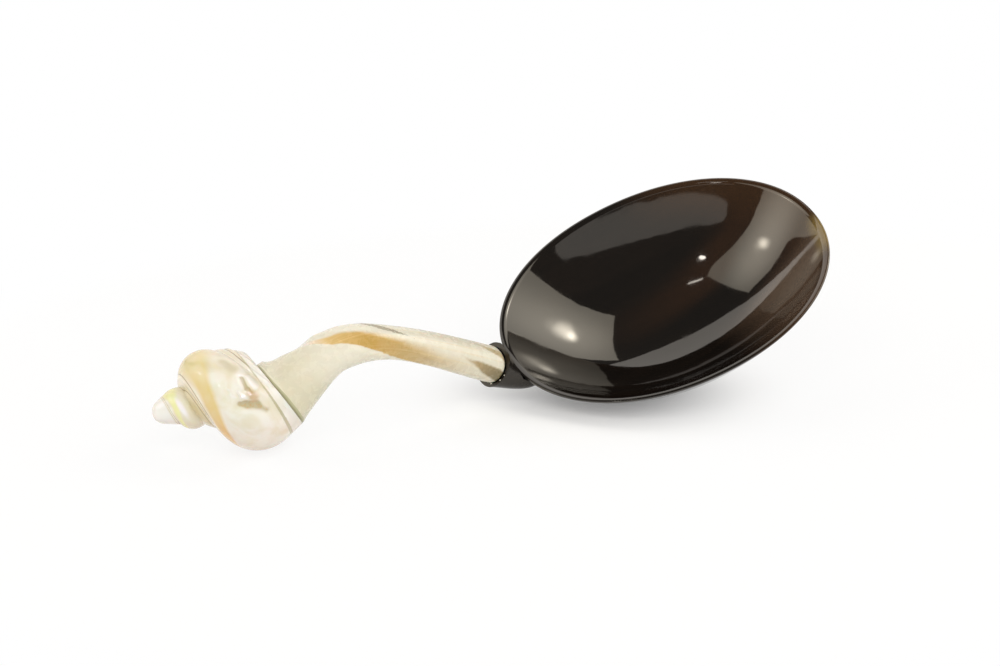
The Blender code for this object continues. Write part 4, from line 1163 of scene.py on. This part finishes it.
# %% Seat glue, filling and pins
CLOUD_EDGE, PIT_FINENESS, PIT_ROUGHNESS = (0.3, 0.7), 6, 0.2
STEEL_DARK, STEEL_LIGHT, BRUSH_STRETCH = (0.48, 0.48, 0.49), (0.60, 0.60, 0.61), (60.0, 4200.0, 4200.0)
STEEL_SHINE, STEEL_BUMP = (0.26, 0.42), 0.00002


def clouded(name, dark, light, scale, rough, bump):
    """A dull, slightly uneven stuff: clouded between two colours and a little pitted."""
    material, tree, shader = new_material(name, IOR=1.5)
    spot = add(tree, "TexCoord").outputs["Object"]
    soft = cloud(tree, spot, scale, 4.0, 0.6, 0.5)
    pits = cloud(tree, spot, PIT_FINENESS * scale, 2.0)
    colour = tint(tree, step(tree, soft, *CLOUD_EDGE), dark, light)
    shine = step(tree, pits, *CLOUD_EDGE, rough, rough + PIT_ROUGHNESS)
    wear(tree, shader, Base_Color=colour, Roughness=shine, Normal=bumped(tree, pits, bump))
    return material


seat_glue = clouded("seat_glue", (0.66, 0.63, 0.54), (0.86, 0.84, 0.77), 400.0, 0.30, 0.00006)
filling_resin = clouded("filling_resin", (0.38, 0.35, 0.28), (0.50, 0.47, 0.38), 300.0, 0.45, 0.00008)
pin_steel, tree, shader = new_material("pin_steel", Metallic=1.0)
brush = cloud(tree, stretched(tree, spoon_coordinates(tree), BRUSH_STRETCH), 1.0, 3.0)
colour = tint(tree, step(tree, brush, *CLOUD_EDGE), STEEL_DARK, STEEL_LIGHT)
wear(tree, shader, Base_Color=colour, Roughness=step(tree, brush, *CLOUD_EDGE, *STEEL_SHINE),
     Normal=bumped(tree, brush, STEEL_BUMP))
print("made the seat glue, the filling and the steel")

# %% Give each piece its finish
finishes = {horn_bowl: bowl_horn, horn_block: block_horn, shell_stem: carved_shell, turban: pearl,
            neck_bead: neck_glue_line, glue_drops: seat_glue}
for node, material in (("aperture_plug", filling_resin), ("socket_glue", seat_glue),
                       ("shell_pin", pin_steel), ("socket_pin", pin_steel)):
    finishes[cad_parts[node]] = material
for piece, material in finishes.items():
    piece.data.materials.clear()
    piece.data.materials.append(material)
print("gave", len(finishes), "pieces their finish")

# %% [markdown]
# ## The table
# The photograph has a plain white ground that keeps only a soft shadow. The floor is lit like a white
# table close to the spoon, but even there a share of white glow is mixed in, smallest at the shadow's middle
# and growing away from it, and this glow fades the shadow as painted light. Farther out the camera sees it as
# white, through Is Camera Ray, so that the ground stays even without more light on the spoon.

# %% Floor
FLOOR_SIZE, FLOOR_SINK, FLOOR_POINTS = 6.0, 0.0001, 8
SHADOW_PLACE, SHADOW_HALF, SHADOW_EDGE, FAR_EDGE = (
    (0.032, -0.008, 0), (0.19, 0.15, 1), (0.05, 0.36, 0.21, 0.85), (0.55, 1.35))
FLOOR_GREY, FLOOR_PALE, WHITE = (0.80, 0.80, 0.79, 1), (0.97, 0.985, 1.0, 1), (1, 1, 1, 1)

bm = bmesh.new()
bmesh.ops.create_grid(bm, x_segments=FLOOR_POINTS, y_segments=FLOOR_POINTS, size=FLOOR_SIZE)
bmesh.ops.translate(bm, verts=bm.verts, vec=(0, 0, -FLOOR_SINK))
floor = loose_object("floor", bm)
table_top, tree = bare_material("table_top")
distance = oval_distance(tree, add(tree, "TexCoord").outputs["Object"], SHADOW_PLACE, SHADOW_HALF)
# The share of white glow: 0.21 at the shadow's middle, 0.85 at its edge as a painted lightening of the real
# shadow, and all white far out.
far = calc(tree, "MAXIMUM", step(tree, distance, *SHADOW_EDGE), step(tree, distance, *FAR_EDGE))
rays = add(tree, "LightPath").outputs
seen = calc(tree, "MAXIMUM", rays["Is Camera Ray"],
            calc(tree, "MAXIMUM", rays["Is Glossy Ray"], rays["Is Transmission Ray"]))
plain = add(tree, "BsdfDiffuse", {"Color": FLOOR_GREY}).outputs[0]
close = add(tree, "BsdfDiffuse", {"Color": FLOOR_PALE}).outputs[0]
white = add(tree, "Emission", {"Color": WHITE, "Strength": 1.0}).outputs[0]
ground = add(tree, "MixShader", {0: far, 1: close, 2: white}).outputs[0]
surface = add(tree, "MixShader", {0: seen, 1: plain, 2: ground}).outputs[0]
add(tree, "OutputMaterial", {"Surface": surface})
floor.data.materials.append(table_top)
print("the floor is", 2 * FLOOR_SIZE, "m wide")

# %% [markdown]
# ## Studio light
# The polished bowl mirrors the studio, so the lights were worked out from its reflections: a big soft box
# on either side with a bright lamp in its middle, a dim sheet behind, a low pale band in front, and a
# small lamp and a strip that make the two sparks in the bowl. Two large fills from the camera's side light
# the pale handle and are kept out of reflections. Each is a card that glows and that the camera doesn't
# see. Cards give the same soft light as lamps do, and their outlines can be bent to fit the reflections.

# %% Shape of a light card
AIM, CARD_POINTS = Vector((0.060, 0.005, 0.025)), 40


def card_frame(toward, distance):
    """Middle, side and up of a card that faces the bowl, from its azimuth and elevation."""
    azimuth, elevation = (math.radians(angle) for angle in toward)
    level_way = Vector((math.cos(azimuth), math.sin(azimuth), 0))
    outward = level_way * math.cos(elevation) + Vector((0, 0, math.sin(elevation)))
    side = Vector((0, 0, 1)).cross(outward).normalized()
    return AIM + outward * distance, side, outward.cross(side)


def card_sheet(name, place, size, rounded, bend):
    """The sheet of a card: a rounded one narrows to its ends, and bend moves its points."""
    middle, side, up = place
    bm = bmesh.new()
    bmesh.ops.create_grid(bm, x_segments=CARD_POINTS, y_segments=CARD_POINTS, size=1)
    for vert in bm.verts:
        u, v = vert.co.x, vert.co.y
        if rounded:
            v *= (1 - abs(u) ** rounded) ** (1 / rounded)
        u, v = u * size[0] / 2, v * size[1] / 2
        if bend:
            u, v = bend(u, v)
        vert.co = middle + side * u + up * v
    sheet = loose_object(name, bm)
    sheet.visible_camera = False
    return sheet


print("a card has", CARD_POINTS ** 2, "faces")

# %% Glow of a light card
WARM_WHITE, NEUTRAL = (1.0, 0.95, 0.85), (1.0, 0.97, 0.94)


def card(name, toward, distance, size, level, colour=NEUTRAL, rounded=0, bend=None, glows=()):
    """A glowing sheet. Each glow adds a level at a place on it, and fades out at two half widths."""
    place = card_frame(toward, distance)
    sheet = card_sheet(name, place, size, rounded, bend)
    middle, side, up = place
    material, tree = bare_material(name)
    spot = add(tree, "TexCoord").outputs["Object"]
    strength = level
    for added, (u, v), (half_u, half_v), power in glows:
        lamp = middle + side * u + up * v
        off = add(tree, "VectorMath", {0: spot, 1: lamp}, operation="SUBTRACT").outputs[0]
        across, above = (add(tree, "VectorMath", {0: off, 1: way}, operation="DOT_PRODUCT").outputs["Value"]
                         for way in (side / half_u, up / half_v))
        away = calc(tree, "ADD", times(tree, across, across), times(tree, above, above))
        glow = calc(tree, "POWER", step(tree, calc(tree, "SQRT", away), 1.0, 0.0), power)
        strength = calc(tree, "ADD", times(tree, glow, added), strength)
    light = add(tree, "Emission", {"Color": (*colour, 1), "Strength": strength}).outputs[0]
    add(tree, "OutputMaterial", {"Surface": light})
    sheet.data.materials.append(material)
    return sheet


print("a card glows white or", WARM_WHITE)

# %% Bends of the cards
LEFT_SIZE, FAR_SIDE, NEAR_SIDE = (0.66, 0.54), -0.30, 0.225
NEAR_WIDENS, NEAR_NARROWS, FAR_NARROWS = (0.175, -0.10, 0.18), (0.05, 0.20, 0.32), (0.035, 0.10, 0.21)
FAN_REACH, FAN_HEIGHTS, FAN_POWER = 0.60, (-0.01, -0.125), 4
LEFT_LEAN, LEAN_HEIGHTS, BACK_WIDENS = 0.16, (-0.10, 0.15), (0.06, 0.03, -0.15)
FRONT_LEAN, FRONT_BOW, SPARK_LIFT = 0.10, 0.22, 0.015
STRIP_BACK, STRIP_SLANT, STRIP_LIFT = 0.04, 0.32, 0.255


def moved(v, size, start, end):
    """How far an edge has moved at a height on its card, from nothing at the start to its size at the end."""
    return size * ramp(v, start, end)


def fan_out(u, v):
    """Bends the left box, in metres on it: it leans, and its low end opens out far to one side."""
    share = u / LEFT_SIZE[0] + 0.5
    near_edge = NEAR_SIDE + moved(v, *NEAR_WIDENS) - moved(v, *NEAR_NARROWS)
    far_edge = FAR_SIDE + moved(v, *FAR_NARROWS) - FAN_REACH * ramp(v, *FAN_HEIGHTS) ** FAN_POWER
    across = far_edge + (near_edge - far_edge) * share
    return across, v + LEFT_LEAN * max(across, FAR_SIDE) * ramp(v, *LEAN_HEIGHTS)


def open_low(u, v):
    """Widens the low end of the back sheet to one side."""
    return u * (1 + moved(v, *BACK_WIDENS)) if u > 0 else u, v


def bow_up(u, v):
    """Leans the front band and lifts both of its ends."""
    return u, v + FRONT_LEAN * u + FRONT_BOW * u * u


def spark_up(u, v):
    """Lifts the small lamp above its aim."""
    return u, v + SPARK_LIFT


def slant_down(u, v):
    """Lifts the strip above the small lamp and slants it."""
    return u - STRIP_BACK, v + STRIP_SLANT * u + STRIP_LIFT


print("five cards are bent or moved")

# %% Place the light cards
RIGHT_LAMP, RIGHT_GLINT, LEFT_LAMP = (0.010, 0.030), (0.050, 0.066), (-0.029, -0.011)
BACK_GLOW, STUDIO_GREY = (0.50, -0.06), (0.08, 0.078, 0.075, 1)

card("right_box", (-7, 46), 0.70, (0.71, 0.66), 1.20, WARM_WHITE,
     glows=[(1.1, RIGHT_LAMP, (0.42, 0.42), 1.0), (5.2, RIGHT_LAMP, (0.19, 0.12), 2.0),
            (7.5, RIGHT_GLINT, (0.12, 0.06), 2.0)])
card("left_box", (175, 23), 0.70, LEFT_SIZE, 0.90, WARM_WHITE, bend=fan_out,
     glows=[(1.3, LEFT_LAMP, (0.38, 0.38), 1.0), (6.0, LEFT_LAMP, (0.14, 0.045), 2.0)])
card("back_sheet", (95, 35), 0.70, (1.08, 1.04), 1.0, rounded=2, bend=open_low,
     glows=[(0.35, BACK_GLOW, (0.40, 0.30), 1.0)])
card("front_band", (-100, 11), 0.90, (1.72, 0.19), 0.56, rounded=4, bend=bow_up)
card("spark", (-136, 30), 0.90, (0.085, 0.045), 12.0, rounded=2, bend=spark_up)
card("strip", (-136, 30), 0.90, (0.165, 0.020), 6.7, rounded=3, bend=slant_down)
for fill in (card("front_fill", (-110, 34), 1.20, (1.40, 1.00), 2.55),
             card("side_fill", (-50, 24), 1.20, (1.00, 0.80), 1.50)):
    fill.visible_glossy = False

world = bpy.data.worlds.new("studio")
bpy.context.scene.world = world
world.use_nodes = True
back_light = world.node_tree.nodes["Background"]
back_light.inputs["Color"].default_value = STUDIO_GREY
back_light.inputs["Strength"].default_value = 1.0
print("eight light cards stand round the spoon")

# %% [markdown]
# ## Finish
# The view transform is Standard, so that a colour renders as it is written.

# %% Finish
bpy.context.scene.view_settings.view_transform = "Standard"
